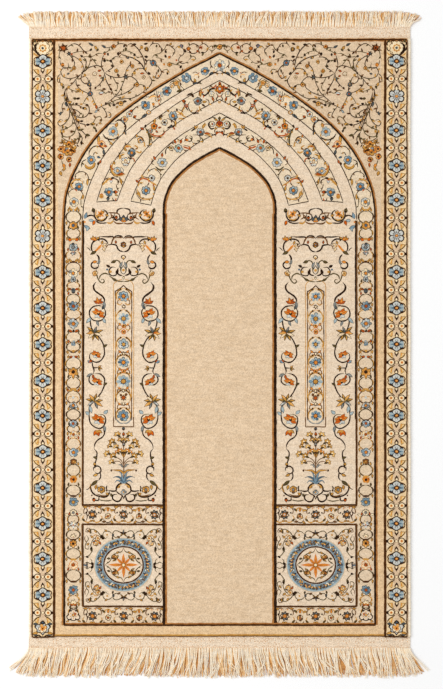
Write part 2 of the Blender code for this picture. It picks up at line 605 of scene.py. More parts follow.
def border_link(pen):
    """The pair of discs between two flowers, with the vine and the leaves above and below it."""
    beige = [(0, 21), (-5.4, 17), (-6.4, 9), (-5, 3), (-1, 0), (-5, -3), (-6.2, -9), (-4.8, -17.5), (-1, -21)]
    # The vine leaves the discs and runs out to the edges of the border.
    vines = (
        [(3.2, 4.2), (5.6, 6.8), (9.6, 9), (13.4, 12.4), (17.6, 18.4)],
        [(3.2, -4.2), (5.6, -7), (11, -9.8), (15.4, -14), (18.4, -20)],
    )
    upper = [(6.4, 8.4), (9.2, 9.4), (12.6, 12.4), (15.6, 16.8), (11, 17.4), (8, 17.8), (7, 13)]
    lower = [(6.6, -8.6), (11, -10.8), (14.2, -14.6), (12, -18.4), (8.6, -20), (7.6, -14)]
    vein = [(-0.6, -2.4), (1.8, -0.4), (3.8, 2.8), (0.8, 1.6)]
    shaded = [(-2.4, 1.0), (-1.2, -1.6), (-0.8, 3.0), (-2.0, 3.4)]
    patch(pen, "beige", whole(np.array(beige)), 0.6)
    for half in both_sides(pen):
        patch(half, "linen", [(10, 5.8), (18.4, 0.5), (18, 15), (14.5, 11)], 0.6)
        patch(half, "linen", [(10, -5.8), (18.4, -0.5), (18, -15), (14.5, -11)], 0.6)
        for vine in vines:
            ribbon(half, "bark", smooth(vine), 1.6, 2, (0.1, 0.3))
        for outline, way in ((upper, 1), (lower, -1)):
            leaf_pen = half.at(10.2, way * 13.6)
            shape = np.array(outline) - (10.2, way * 13.6)
            patch(leaf_pen, "umber", rounded(shape * 1.06), 1)
            patch(leaf_pen, "corn", rounded(shape * 0.9), 2)
            for yarn, light in (("straw", vein), ("amber", shaded)):
                patch(leaf_pen, yarn, np.array(light) * (1, way), 3)
        patch(half, "bark", disc(6.6, 9.5, 0.0, 0.94, 20), 3)
        patch(half, "ivory", disc(5.0, 9.5, 0.0, 0.94, 20), 4)
        patch(half, "apricot", disc(2.7, 9.7, 0.0, step=45), 5)
        patch(half, "rust", disc(1.5, 9.7, 0.0, step=45), 6)
        patch(half, "ink", [(15.2, 2.8), (18.0, 2.4), (19.2, 0), (18.0, -2.4), (15.2, -2.8)], 3)
    patch(pen, "umber", disc(3.0), 2)
    patch(pen, "ivory", disc(2.3), 3)


def corner_flower(pen):
    """The white flower at the very top of each long border, among dark scrolls."""
    patch(pen, "bark", lobed(13.8, 8, 0.2, 22), 1)
    patch(pen, "ivory", lobed(12.8, 8, 0.24, 22), 2)
    patch(pen, "amber", lobed(7.4, 8, 0.3), 5)
    patch(pen, "gold", lobed(6.6, 8, 0.24), 6)
    patch(pen, "ivory", disc(4.4), 7)
    patch(pen, "slate", disc(2.4), 8)
    for half in both_sides(pen):
        stroke(half.at(level=2), "bark", 1.5, [(2, 12.8), (7, 13.6), (10.4, 11), (9, 8)])
        stroke(half, "ink", 1.5, [(11, 12), (15.5, 13), (17.6, 8), (15.6, 4)])
        stroke(half, "ink", 1.5, [(12.6, -6), (17, -3), (17.5, 2)])
        stroke(half.at(level=2), "bark", 1.5, [(2, -13), (8, -12.4), (12, -8.5)])
        stroke(half, "gold", 1.8, [(9, -14), (14, -12), (17, -8)])
        leaf(half.at(13, 10, -30), 7, 3, "olive", 0.2)
    stroke(pen.at(level=2), "ink", 3.2, [(-10, 9), (-13.6, 4), (-13.6, -3), (-10.4, -8.4), (-5, -11.4)])


def foot_flower(pen):
    """The flower that ends each long border at the bottom."""
    outline = [
        (0, 14.6), (-4.6, 11.6), (-5.6, 8), (-12.8, 8), (-15.4, 3),
        (-11, -2), (-11.6, -7), (-4, -8.4), (0, -13.4),
    ]
    whole_outline = outline + [(-x, y) for x, y in outline[-2:0:-1]]
    patch(pen, "ink", whole_outline, 1)
    patch(pen, "pearl", [(x * 0.82, y * 0.8) for x, y in whole_outline], 2)
    for turn, reach in ((20, 9.4), (95, 8.0), (165, 8.6), (235, 8.6), (300, 9.0)):
        petal = pen.at(turn=turn)
        patch(petal, "umber", petal_outline(reach, 7.4), 3)
        patch(petal, "apricot" if reach > 8.8 else "ivory", petal_outline(reach - 1.2, 5.6), 4)
    patch(pen, "amber", lobed(4.6, 5, 0.4, 30), 5)
    patch(pen, "bark", disc(1.5), 6)
    patch(pen.at(0, 7.6), "ink", teardrop(7.4, 8.4, 0.2), 5)
    patch(pen.at(0, 9.6), "denim", teardrop(3, 3.6, 0.2), 6)
    for half in both_sides(pen):
        leaf(half.at(9, 9, -110), 8, 4.4, "slate", 0.3)
        leaf(half.at(9, -7, -118), 9.5, 4.6, "gold", 0.2, "umber")
        leaf(half.at(9, -12, -80), 8, 3, "slate", -0.2)
        stroke(half, "ink", 2.0, [(3, -14), (8, -12), (12, -13.6), (17, -10)])


def draw_outer_border(pen):
    """The flowers and discs of the left border, from the top to the bottom."""
    column = pen.at(-BORDER_MIDDLE)
    corner_flower(column.at(0, CORNER_FLOWER_Y))
    foot_flower(column.at(0, FOOT_FLOWER_Y))
    for y, below in zip(BORDER_FLOWERS, BORDER_FLOWERS[1:] + [LAST_LINK_END]):
        border_flower(column.at(0, y, 0, BORDER_FLOWER_SIZE), y in WHITE_BORDER_FLOWERS)
        border_link(column.at(0, (y + below) / 2))


# ---------------------------------------------------------------- grounds and lines


ARCHES = {
    # x and y of the left half, from the apex down
    "frame": [
        (0, 519.5), (-60, 489), (-119, 453.5), (-158, 427), (-199, 394), (-233.5, 356.5), (-259, 316.5),
        (-277, 275), (-283.5, 240), (-285, 205),
    ],
    "band_1": [
        (0, 489.5), (-59.5, 456.5), (-98.5, 433), (-140, 404), (-181, 369), (-212.5, 331.5),
        (-233.5, 291.5), (-247.5, 251), (-251.5, 215.5),
    ],
    "band_2_outer": [
        (0, 470.5), (-61, 439), (-100.5, 412.5), (-143, 380), (-178.5, 343), (-204.5, 302.5),
        (-218, 271.5), (-226, 247.5),
    ],
    "band_2_inner": [
        (0, 436), (-61, 403.5), (-101.5, 375), (-135, 344.5), (-159.5, 313.5), (-175, 284),
        (-183.5, 262.5), (-188, 250.5),
    ],
    "band_3_outer": [
        (0, 411.5), (-61.5, 376.5), (-102.5, 344.5), (-134, 308), (-149.5, 281.5), (-158.5, 260.5),
        (-163, 249.5),
    ],
    "band_3_inner": [
        (0, 377), (-42.5, 354), (-76, 329), (-101, 300.5), (-115.5, 275.5), (-122.5, 255), (-126, 242),
    ],
    "niche": [
        (0, 347), (-29.5, 332), (-58.5, 313), (-81.5, 291), (-94, 271.5), (-101, 250), (-103, 225),
    ],
}


def arch(name, offset=0.0):
    """The left half of an arch line, from its apex, moved outwards by offset."""
    line = smooth(ARCHES[name], 4)
    heading = unit(np.gradient(line, axis=0))
    moved = line + offset * np.stack([heading[:, 1], -heading[:, 0]], 1)
    moved[0, 0] = 0.0
    return moved


def band_outline(name):
    """The left half of the middle or the inner band over the niche."""
    return np.concatenate([arch(name + "_outer"), arch(name + "_inner")[::-1]])


def whole(left):
    """A left half outline from its apex down, with its mirror image."""
    return np.concatenate([left, (left * (-1, 1))[:0:-1]])


def draw_grounds():
    """The plain pile of each region: low steps over the cloth's own ground."""
    frame = np.concatenate([arch("frame"), [(-FRAME_LINE, BASE_LINE)]])
    niche = np.concatenate([arch("niche"), [(-NICHE_LINE, BASE_LINE)]])
    patch(Pen(), "cream", whole(frame), FIELD_LEVEL)
    patch(Pen(), "sand", whole(niche), NICHE_LEVEL)
    for pen in both_sides():
        patch(pen, "straw", rectangle(-BORDER_OUTER, BORDER_END, -BORDER_INNER, TOP_LINE), FIELD_LEVEL)
        corner = [(-296, TOP_LINE), (-296, 215), *arch("frame", -5)[::-1], (0, TOP_LINE)]
        patch(pen, "dune", corner, FIELD_LEVEL)
        patch(pen, "linen", np.concatenate([arch("frame"), arch("band_1")[::-1]]), BAND_LEVEL)
        for name in ("band_2", "band_3"):
            patch(pen, "linen", band_outline(name), BAND_LEVEL)
        for left, bottom, right, top in (
            (-FRAME_LINE, SQUARE_TOP, -PANEL_LINE, 215),
            (-FRAME_LINE, BASE_LINE, -PANEL_LINE, SQUARE_TOP),
            (-PANEL_LINE, BASE_LINE, -NICHE_LINE, SQUARE_END),
        ):
            patch(pen, "flax", rectangle(left, bottom, right, top), BAND_LEVEL)


# Straight lines of the left half: yarn, level, width, and the two ends
LINES = [
    # Long border
    ("bark", 2, 2.0, (-BORDER_OUTER, TOP_LINE), (-BORDER_OUTER, BORDER_END)),
    ("umber", 2, 4.8, (-BORDER_INNER, TOP_LINE), (-BORDER_INNER, BORDER_END)),
    ("bark", 3, 3.0, (-BORDER_INNER, TOP_LINE), (-BORDER_INNER, BORDER_END)),
    ("bark", 3, 2.6, (-BORDER_OUTER, BORDER_END), (-BORDER_INNER, BORDER_END + 0.6)),
    # Top, base and end of the field
    ("cinnamon", 2, 5.4, (0, TOP_LINE - 0.6), (-BORDER_OUTER, TOP_LINE - 0.6)),
    ("bark", 3, 3.0, (0, TOP_LINE), (-BORDER_OUTER, TOP_LINE)),
    ("cinnamon", 4, 5.6, (0, BASE_LINE + 1.2), (-FRAME_LINE, BASE_LINE + 1.2)),
    # Top, base and end of the field; the fine umber line at the very end is painted shade where the pile
    # slopes down to the tape
    ("bark", 5, 3.4, (0, BASE_LINE), (-FRAME_LINE - 1, BASE_LINE)),
    ("gold", 2, 3.4, (0, -546), (-BORDER_INNER, -546)),
    # Painted shade along the pile's lower end, where it slopes down to the tape
    ("umber", 3, 2.0, (0, -547.6), (-BORDER_INNER, -547.6)),
    # Panel and its square: the line at their outer side stops at the two cross bands
    ("umber", 2, 2.6, (-PANEL_LINE - 3.0, 214), (-PANEL_LINE - 3.0, PANEL_END)),
    ("ink", 3, 2.6, (-PANEL_LINE - 0.8, 214), (-PANEL_LINE - 0.8, -150)),
    ("bark", 3, 2.2, (-PANEL_LINE - 1.6, -146), (-PANEL_LINE - 1.6, PANEL_END)),
    ("umber", 2, 2.6, (-PANEL_LINE - 3.2, SQUARE_TOP), (-PANEL_LINE - 3.2, SQUARE_END)),
    ("bark", 3, 2.2, (-PANEL_LINE - 1.4, SQUARE_TOP), (-PANEL_LINE - 1.4, SQUARE_END)),
    ("umber", 2, 2.8, (-PANEL_LINE - 4, PANEL_END - 1.2), (-NICHE_LINE, PANEL_END - 1.2)),
    ("bark", 3, 2.0, (-PANEL_LINE - 4, PANEL_END + 0.4), (-NICHE_LINE, PANEL_END + 0.4)),
    ("umber", 2, 3.4, (-PANEL_LINE - 3, SQUARE_TOP), (-NICHE_LINE, SQUARE_TOP)),
    ("bark", 3, 2.0, (-PANEL_LINE - 2, SQUARE_TOP - 0.8), (-NICHE_LINE, SQUARE_TOP - 0.8)),
    ("umber", 2, 3.2, (-PANEL_LINE - 3, SQUARE_END), (-NICHE_LINE, SQUARE_END)),
    ("bark", 3, 2.0, (-PANEL_LINE - 3, SQUARE_END + 0.6), (-NICHE_LINE, SQUARE_END + 0.6)),
]


def upright(x, top):
    """A straight line down to the base, from where an arch ends."""
    return straight((x, top), (x, BASE_LINE))


def draw_lines():
    """The straight lines, and those that edge the arches, the frame and the niche."""
    for pen in both_sides():
        for yarn, level, width, start, end in LINES:
            ribbon(pen, yarn, straight(start, end), width, level)
        ribbon(pen, "ink", arch("band_1"), 1.5, 2)
        for name in ("band_2", "band_3"):
            ribbon(pen, "ink", band_outline(name), 1.4, 2)
        # The frame and the niche, each a dark line with a brown one beside it, finer in the arch
        ribbon(pen, "ink", arch("frame"), 3.0, 4)
        ribbon(pen, "cinnamon", arch("frame", 2.2), 3.8, 3)
        ribbon(pen, "ink", upright(-FRAME_LINE - 0.4, 206), 3.8, 4)
        ribbon(pen, "cinnamon", upright(-FRAME_LINE - 2.8, 206), 4.4, 3)
        ribbon(pen, "ink", arch("niche"), 4.0, 4)
        ribbon(pen, "cinnamon", arch("niche", -2.8), 4.2, 3)
        ribbon(pen, "ink", upright(-NICHE_LINE + 0.5, 227), 5.0, 4)
        ribbon(pen, "cinnamon", upright(-NICHE_LINE + 3.7, 227), 4.8, 3)


# ---------------------------------------------------------------- bands of the arches


# A vine is its yarn, its width and its points. A motif is its kind, its place and turn, and how it is made.
ARCH_VINES = [
    # Outer band
    ("ink", 1.3, [(-275, 255), (-277, 264), (-270, 271), (-260, 271), (-252, 265), (-250, 255)]),
    ("olive", 1.4, [(-250, 262), (-254, 254), (-254, 240)]),
    ("ink", 1.4, [(-263, 287), (-265, 296), (-259, 302), (-249, 303), (-242, 297), (-240, 289), (-243, 278)]),
    ("gold", 2.2, [(-268, 271), (-272, 279), (-268, 286), (-259, 289), (-251, 285)]),
    ("ink", 1.0, [(-271, 271), (-275, 279), (-270, 288), (-262, 291)]),
    ("ink", 1.5, [(-244, 326), (-252, 321), (-253, 311)]),
    ("ink", 1.3, [(-247, 313), (-239, 309), (-230, 313), (-227, 318)]),
    ("ink", 1.6, [(-239, 332), (-238, 342), (-229, 350), (-217, 348), (-212, 340), (-213, 331)]),
    ("ink", 1.2, [(-232, 333), (-228, 339), (-222, 336)]),
    ("ink", 2.2, [(-214, 373), (-208, 365), (-198, 362), (-188, 365), (-184, 371)]),
    ("ink", 1.5, [(-205, 363), (-200, 356), (-196, 351)]),
    ("ink", 2.6, [(-192, 394), (-184, 398), (-176, 394), (-172, 386), (-174, 378), (-178, 373)]),
    ("ash", 1.5, [(-208, 381), (-203, 389), (-194, 391), (-187, 388)]),
    ("ink", 1.3, [(-161, 404), (-160, 414), (-153, 422), (-144, 425)]),
    ("ink", 1.3, [(-157, 403), (-150, 399), (-142, 401), (-136, 407)]),
    ("ash", 1.2, [(-128, 441), (-134, 440), (-138, 436)]),
    ("apricot", 2.0, [(-131, 437), (-124, 441), (-116, 441), (-110, 436), (-113, 429)]),
    ("bark", 1.1, [(-130, 439), (-123, 444), (-114, 443), (-107, 436), (-111, 427)]),
    ("bark", 1.2, [(-124, 430), (-120, 424), (-114, 422), (-109, 427)]),
    ("ink", 1.0, [(-116, 452), (-114, 443), (-106, 436)]),
    ("ash", 1.6, [(-113, 451), (-108, 443), (-103, 440)]),
    ("gold", 2.2, [(-92, 461), (-86, 465), (-80, 470), (-72, 468)]),
    ("bark", 1.1, [(-92, 465), (-86, 470), (-78, 474)]),
    ("ink", 1.2, [(-78, 476), (-73, 470), (-72, 462), (-66, 456)]),
    ("ink", 1.8, [(-54, 479), (-52, 471), (-46, 466), (-38, 466), (-33, 473)]),
    ("bark", 1.1, [(-50, 484), (-44, 486), (-38, 482)]),
    ("apricot", 1.4, [(-47, 480), (-41, 482), (-37, 478)]),
    ("ink", 1.8, [(-20, 480), (-12, 485), (-3, 484)]),
    ("ink", 1.6, [(-16, 508), (-17, 500), (-11, 493)]),
    ("bark", 1.2, [(-12, 487), (-8, 484), (0, 483)]),
    # Middle band
    ("bark", 1.4, [(-197, 256), (-194, 250), (-188, 251)]),
    ("gold", 3.0, [(-215, 278), (-209, 285), (-203, 290), (-197, 291)]),
    ("bark", 1.1, [(-216, 281), (-210, 289), (-203, 293)]),
    ("bark", 1.6, [(-194, 291), (-188, 289), (-185, 284), (-188, 279)]),
    ("olive", 1.8, [(-184, 294), (-182, 286), (-178, 278)]),
    ("gold", 3.0, [(-194, 320), (-198, 311), (-196, 302), (-190, 297), (-180, 297), (-173, 299)]),
    ("bark", 1.1, [(-197, 321), (-201, 311), (-198, 301), (-191, 294), (-180, 294)]),
    ("ash", 1.4, [(-181, 312), (-176, 307), (-178, 301)]),
    ("bark", 1.3, [(-190, 281), (-188, 273), (-184, 267)]),
    ("gold", 2.6, [(-184, 326), (-181, 333), (-174, 336)]),
    ("bark", 1.1, [(-187, 326), (-184, 335), (-175, 339)]),
    ("ink", 2.4, [(-168, 331), (-164, 327), (-160, 329)]),
    ("rust", 2.0, [(-161, 329), (-157, 326), (-155, 321)]),
    ("gold", 2.6, [(-176, 343), (-170, 351), (-163, 349), (-161, 345)]),
    ("bark", 1.1, [(-178, 346), (-171, 354), (-162, 353)]),
    ("gold", 2.4, [(-153, 341), (-147, 338), (-142, 340)]),
    ("gold", 2.0, [(-156, 352), (-150, 348), (-152, 343)]),
    ("bark", 1.3, [(-158, 364), (-150, 368), (-142, 366), (-137, 356)]),
    ("gold", 1.8, [(-140, 358), (-137, 354), (-139, 350)]),
    ("olive", 3.0, [(-136, 384), (-131, 376), (-128, 366), (-128, 358), (-130, 350)]),
    ("ink", 1.2, [(-134, 377), (-126, 366), (-124, 355), (-129, 347)]),
    ("gold", 1.4, [(-132, 380), (-126, 371), (-120, 366)]),
    ("rust", 2.2, [(-128, 376), (-122, 371), (-113, 369), (-104, 371), (-98, 378)]),
    ("bark", 1.0, [(-128, 373), (-121, 368), (-112, 366), (-103, 368)]),
    ("bark", 1.6, [(-97, 402), (-88, 398), (-82, 392), (-84, 386), (-92, 384)]),
    ("ink", 2.6, [(-96, 383), (-90, 386), (-84, 385)]),
    ("bark", 1.2, [(-114, 399), (-108, 406), (-100, 408)]),
    ("gold", 2.0, [(-79, 414), (-72, 411), (-66, 406), (-60, 403)]),
    ("gold", 1.9, [(-77, 407), (-70, 412), (-66, 418), (-62, 424)]),
    ("bark", 1.1, [(-75, 418), (-69, 416), (-63, 428)]),
    ("gold", 2.6, [(-76, 400), (-70, 401), (-65, 399)]),
    ("ink", 1.8, [(-66, 430), (-61, 421), (-57, 415)]),
    ("ink", 1.6, [(-55, 432), (-58, 424), (-53, 414), (-44, 412), (-40, 420)]),
    ("ink", 2.8, [(-60, 443), (-54, 446), (-48, 445)]),
    ("gold", 2.0, [(-38, 424), (-36, 418), (-40, 412)]),
    ("ink", 2.2, [(-48, 409), (-43, 411), (-38, 410)]),
    ("gold", 2.4, [(-35, 440), (-34, 448), (-33, 456)]),
    ("bark", 1.1, [(-38, 442), (-37, 450), (-35, 458)]),
    ("bark", 1.2, [(-26, 437), (-20, 433), (-20, 426), (-27, 421)]),
    ("ink", 2.8, [(-33, 449), (-28, 443), (-22, 447), (-17, 454), (-9, 455), (-5, 449)]),
    ("bark", 1.6, [(-15, 441), (-10, 436), (-12, 429)]),
    ("bark", 1.4, [(-8, 466), (-16, 462), (-19, 456)]),
    ("rust", 2.0, [(-6, 463), (-10, 458), (-16, 458)]),
    ("ink", 1.5, [(-7, 448), (-3, 442), (-6, 436), (0, 432)]),
    # Inner band
    ("gold", 2.2, [(-151, 273), (-149, 262), (-143, 255), (-134, 253), (-124, 255), (-119, 264)]),
    ("bark", 1.0, [(-153, 273), (-152, 262), (-145, 253), (-134, 250)]),
    ("rust", 2.4, [(-149, 286), (-142, 291), (-134, 290), (-126, 285)]),
    ("bark", 1.2, [(-150, 289), (-142, 294), (-133, 293), (-124, 287)]),
    ("gold", 2.4, [(-127, 285), (-120, 281), (-115, 278)]),
    ("gold", 2.2, [(-150, 276), (-147, 283), (-140, 283)]),
    ("bark", 1.6, [(-129, 284), (-133, 278)]),
    ("ink", 1.3, [(-133, 297), (-129, 305), (-120, 309), (-112, 304), (-108, 296), (-109, 289)]),
    ("olive", 2.6, [(-118, 313), (-110, 307), (-101, 308)]),
    ("bark", 1.2, [(-120, 316), (-125, 320), (-122, 327)]),
    ("ink", 1.6, [(-99, 335), (-98, 344), (-91, 351)]),
    ("ink", 1.4, [(-95, 350), (-88, 356), (-80, 358)]),
    ("olive", 1.6, [(-85, 341), (-90, 345), (-88, 351)]),
    ("ink", 1.4, [(-84, 360), (-78, 364), (-72, 361), (-66, 366)]),
    ("rust", 2.6, [(-67, 350), (-60, 347), (-54, 347)]),
    ("bark", 1.1, [(-67, 353), (-60, 351), (-54, 350)]),
    ("bark", 1.6, [(-66, 344), (-60, 342), (-56, 345)]),
    ("ink", 1.8, [(-58, 371), (-62, 366), (-58, 360), (-52, 360), (-50, 367), (-55, 370)]),
    ("ink", 1.3, [(-49, 371), (-38, 370), (-35, 363), (-39, 356), (-48, 356), (-52, 362)]),
    ("ink", 2.4, [(-52, 378), (-46, 382), (-42, 383)]),
    ("gold", 2.6, [(-31, 382), (-28, 387), (-26, 393)]),
    ("gold", 2.4, [(-28, 373), (-22, 372), (-17, 370)]),
    ("bark", 1.1, [(-28, 370), (-22, 369), (-16, 368)]),
    ("olive", 2.0, [(-34, 366), (-30, 361), (-31, 356)]),
    ("ink", 2.6, [(-16, 396), (-20, 389), (-15, 382), (-8, 384)]),
    ("bark", 1.6, [(-9, 375), (-8, 381), (-2, 385)]),
    ("ink", 1.4, [(-16, 374), (-12, 371), (-6, 372)]),
    ("rust", 1.8, [(-6, 371), (-3, 375), (0, 375)]),
    ("ink", 1.3, [(-20, 399), (-13, 403), (-6, 402)]),
]

ARCH_MOTIFS = [
    # Outer band
    (blossom, -267, 248, 0, 10.0, "pearl", "amber", 6, "slate", "ash"),
    (crescent, -268, 239, 0, 9.4, "gold"),
    (bud, -268, 230.5, 0, 5.5, "pearl", "ash"),
    (leaf, -251, 263, 185, 12, 3.6, "gold"),
    (blossom, -257.5, 276, 8, 8.6, "sky", "amber", 7, "slate"),
    (bud, -251, 287, 200, 5.5, "pearl", "gold"),
    (leaf, -242, 291, 178, 15, 3.8, "gold"),
    (leaf, -262, 287, -60, 9, 3, "gold"),
    (crescent, -238, 318, 14, 11.6, "gold"),
    (blossom, -235, 325, 10, 9.0, "sky", "amber", 7, "slate"),
    (leaf, -225, 331, -110, 8, 3.2, "denim"),
    (leaf, -213, 344, 190, 12, 4.2, "slate"),
    (leaf, -220, 318, -25, 9, 3.6, "rust"),
    (leaf, -223, 315, -10, 7, 3, "bark"),
    (leaf, -223, 357, -14, 14, 5.2, "gold"),
    (blossom, -216, 354, 0, 7.6, "apricot", "slate", 5, "rust", "rust"),
    (leaf, -212, 351, -110, 7, 4, "rust"),
    (leaf, -201, 358, -140, 9, 3.4, "gold"),
    (blossom, -195, 377, 0, 9.8, "mist", "amber", 8, "ash", "ash"),
    (leaf, -190, 384, -16, 11, 5.2, "gold"),
    (leaf, -174, 378, 200, 8, 3.2, "slate"),
    (blossom, -174, 399, 0, 6.8, "apricot", "rust", 5, "slate", "ash"),
    (blossom, -165, 409, 0, 6.0, "pearl", "rust", 5, "slate", "ash"),
    (leaf, -166, 413, -60, 9, 3.6, "rust"),
    (bud, -158, 402, -50, 8, "rust", "ink"),
    (leaf, -143, 402, -56, 15, 5.0, "slate"),
    (blossom, -136, 425, 0, 9.8, "sky", "amber", 8, "denim", "slate"),
    (blossom, -130, 412, 0, 4.4, "apricot", "pearl", 4, "bark", "pearl"),
    (blossom, -113, 437, 0, 5.4, "apricot", "pearl", 5, "bark", "rust"),
    (berry, -121, 427, 0, 2.8, "amber"),
    (blossom, -97, 451, 15, 9.8, "sky", "rust", 8, "denim", "slate"),
    (blossom, -108, 446, 0, 4.6, "pearl", "mist", 5, "ash", "pearl"),
    (blossom, -87, 461, 0, 4.4, "ivory", "apricot", 5, "bark", "apricot"),
    (blossom, -79, 466, 0, 5.0, "gold", "amber", 5, "olive", "amber"),
    (leaf, -77, 463, 205, 11, 4.2, "gold"),
    (leaf, -79, 450, -70, 12, 4.2, "olive"),
    (blossom, -61, 475, 0, 9.6, "sky", "pearl", 6, "denim", "slate"),
    (leaf, -44, 467, 20, 9, 3.8, "gold"),
    (leaf, -50, 465, -80, 12, 3.4, "slate"),
    (blossom, -27, 488, 10, 9.0, "sky", "amber", 8, "denim", "slate"),
    (leaf, -19, 482, -66, 10, 3.8, "slate"),
    # Middle band
    (bud, -205, 258, 180, 9.0, "slate", "ink"),
    (bud, -195, 266, -88, 10, "rust", "ink"),
    (blossom, -203, 266, 0, 9.2, "sky", "amber", 8, "denim", "slate"),
    (berry, -217, 258, 0, 4.4, "gold", "rust"),
    (leaf, -192, 262, -120, 6, 3, "gold"),
    (bud, -199, 290, 180, 8.6, "pearl", "rust"),
    (leaf, -200, 291, -80, 8, 3.4, "ink"),
    (leaf, -182, 291, 192, 13, 3.8, "gold"),
    (leaf, -188, 298, -80, 15, 4.2, "rust"),
    (blossom, -187, 305, 0, 8.2, "mist", "apricot", 7, "slate", "ash"),
    (leaf, -192, 316, 20, 8, 3.6, "gold"),
    (blossom, -172, 322, 0, 9.0, "pearl", "sand", 7, "bark", "ivory"),
    (leaf, -174, 319, -95, 9, 3, "rust"),
    (dot, -173, 325, 0, 1.8, "gold", 8),
    (leaf, -181, 327, 20, 10, 4.0, "gold"),
    (leaf, -170, 341, 40, 9, 3.8, "gold"),
    (blossom, -161, 338, 0, 8.6, "sky", "amber", 7, "ink", "slate"),
    (blossom, -145, 361, 0, 6.0, "gold", "slate", 5, "bark", "pearl"),
    (leaf, -150, 366, 30, 7, 3.2, "gold"),
    (leaf, -138, 380, 60, 9, 4.0, "rust"),
    (leaf, -136, 384, -10, 6, 3.2, "ink"),
    (blossom, -127, 378, 0, 4.8, "pearl", "rust", 5, "olive", "ash"),
    (blossom, -120, 387, 0, 6.8, "rust", "olive", 5, "bark", "amber"),
    (leaf, -120, 391, -12, 12, 4.4, "gold"),
    (leaf, -113, 384, -80, 7, 3, "rust"),
    (leaf, -117, 380, -140, 7, 3, "rust"),
    (blossom, -101, 394, 0, 6.2, "pearl", "ink", 7, "bark", "ash"),
    (bud, -107, 399, 30, 7.5, "olive", "gold"),
    (bud, -88, 390, 170, 7, "slate", "ink"),
    (leaf, -81, 398, 185, 11, 3.8, "gold"),
    (blossom, -85, 406, -20, 9.4, "sky", "amber", 8, "ink", "slate"),
    (leaf, -92, 413, 40, 7, 3, "gold"),
    (leaf, -78, 414, 0, 6, 3, "bark"),
    (bud, -62, 431, 64, 9, "rust", "bark"),
    (leaf, -64, 430, -170, 10, 3.8, "ash"),
    (blossom, -40, 433, 0, 8.6, "ash", "rust", 9, "ink", "slate"),
    (leaf, -36, 441, -14, 12, 4, "gold"),
    (leaf, -47, 440, 40, 8, 3.4, "bark"),
    (leaf, -32, 431, -86, 9, 4.2, "gold"),
    (leaf, -33, 427, -120, 8, 3, "bark"),
    (blossom, -15, 446, 0, 5.8, "pearl", "pearl", 5, "ink", "ivory"),
    (leaf, -13, 441, 190, 10, 3, "rust"),
    # Inner band
    (blossom, -135, 269, 0, 9.4, "sky", "amber", 8, "ink", "slate"),
    (leaf, -149, 283, 40, 8, 3.4, "rust"),
    (leaf, -149, 268, 195, 14, 3.8, "gold"),
    (leaf, -120, 268, 5, 11, 3.8, "gold"),
    (blossom, -124.5, 292, 0, 6.4, "pearl", "ink", 9, "bark", "pearl"),
    (blossom, -105, 320, 0, 10.0, "mist", "gold", 8, "slate", "sky"),
    (leaf, -117, 325, 30, 9, 3.8, "rust"),
    (leaf, -105, 330, 0, 9, 3.8, "rust"),
    (blossom, -89, 347, 0, 4.8, "pearl", "olive", 5, "bark", "gold"),
    (blossom, -75, 347, 0, 8.6, "mist", "rust", 7, "olive", "sage"),
    (leaf, -80, 355, 20, 9, 4, "rust"),
    (leaf, -72, 355, -20, 9, 4, "rust"),
    (bud, -57, 361, 70, 8, "rust", "amber"),
    (blossom, -35, 376, 0, 8.0, "ash", "rust", 8, "ink", "slate"),
    (leaf, -43, 381, 20, 9, 3.6, "gold"),
    (leaf, -31, 382, -20, 12, 4.4, "gold"),
    (leaf, -28, 374, -92, 12, 3.6, "rust"),
    (blossom, -13, 391, 0, 5.4, "pearl", "rust", 5, "bark", "pearl"),
    (bud, -4, 378, 160, 7, "rust", "bark"),
    (leaf, -3, 397, 60, 9, 3.4, "gold"),
]

ARCH_APEX = [
    (blossom, 0, 498, 0, 10.0, "pearl", "rust", 9, "ash", "ash"),
    (blossom, 0, 455, 0, 7.8, "rust", "pearl", 6, "ink", "amber"),
    (bud, 0, 462, 0, 6.5, "rust", "ink"),
    (blossom, 0, 391, 0, 6.4, "rust", "crimson", 6, "bark", "crimson"),
    (bud, 0, 398, 0, 6.5, "olive", "ink"),
]


def draw_arches():
    """The vines and flowers of the three bands over the niche."""
    yarns = ("gold", "umber", "rust", "bark", "gold", "olive")
    for pen in both_sides():
        draw_scrolls(
            pen, ARCH_VINES, ARCH_MOTIFS, weight=0.86, size=0.88, spacing=13.0, yarns=yarns, length=5.0
        )
    draw_motifs(Pen(), ARCH_APEX)


# ---------------------------------------------------------------- long band between frame and panel


# Loops of stem round a plain space: y, half width, half height, yarn, opening at the top in degrees
BAND_LOOPS = [
    (220, 13, 12, "olive", 0), (190, 12, 10, "olive", 60), (149, 13, 11, "gold", 70),
    (127, 13, 10, "bark", 0), (94, 11, 7, "gold", 40), (69, 12, 10, "olive", 0),
    (42, 13, 9, "gold", 0), (0, 13, 10, "olive", 60), (-18, 12, 9, "olive", 60),
    (-49, 13.5, 12, "olive", 0), (-84, 12.5, 11, "ink", 40), (-110, 13, 12, "bark", 0),
    (-142, 12, 10, "olive", 0), (-168, 11, 8, "ink", 40), (-196, 12.5, 11, "gold", 0),
    (-244, 12, 11, "olive", 0), (-281, 12.5, 10, "olive", 0), (-334, 10, 9, "ink", 40),
    (-362, 12, 9, "olive", 0), (-397, 13, 10, "olive", 0), (-437, 13, 11, "olive", 0),
    (-481, 10, 8, "gold", 0), (-503, 8, 7, "ink", 0),
]


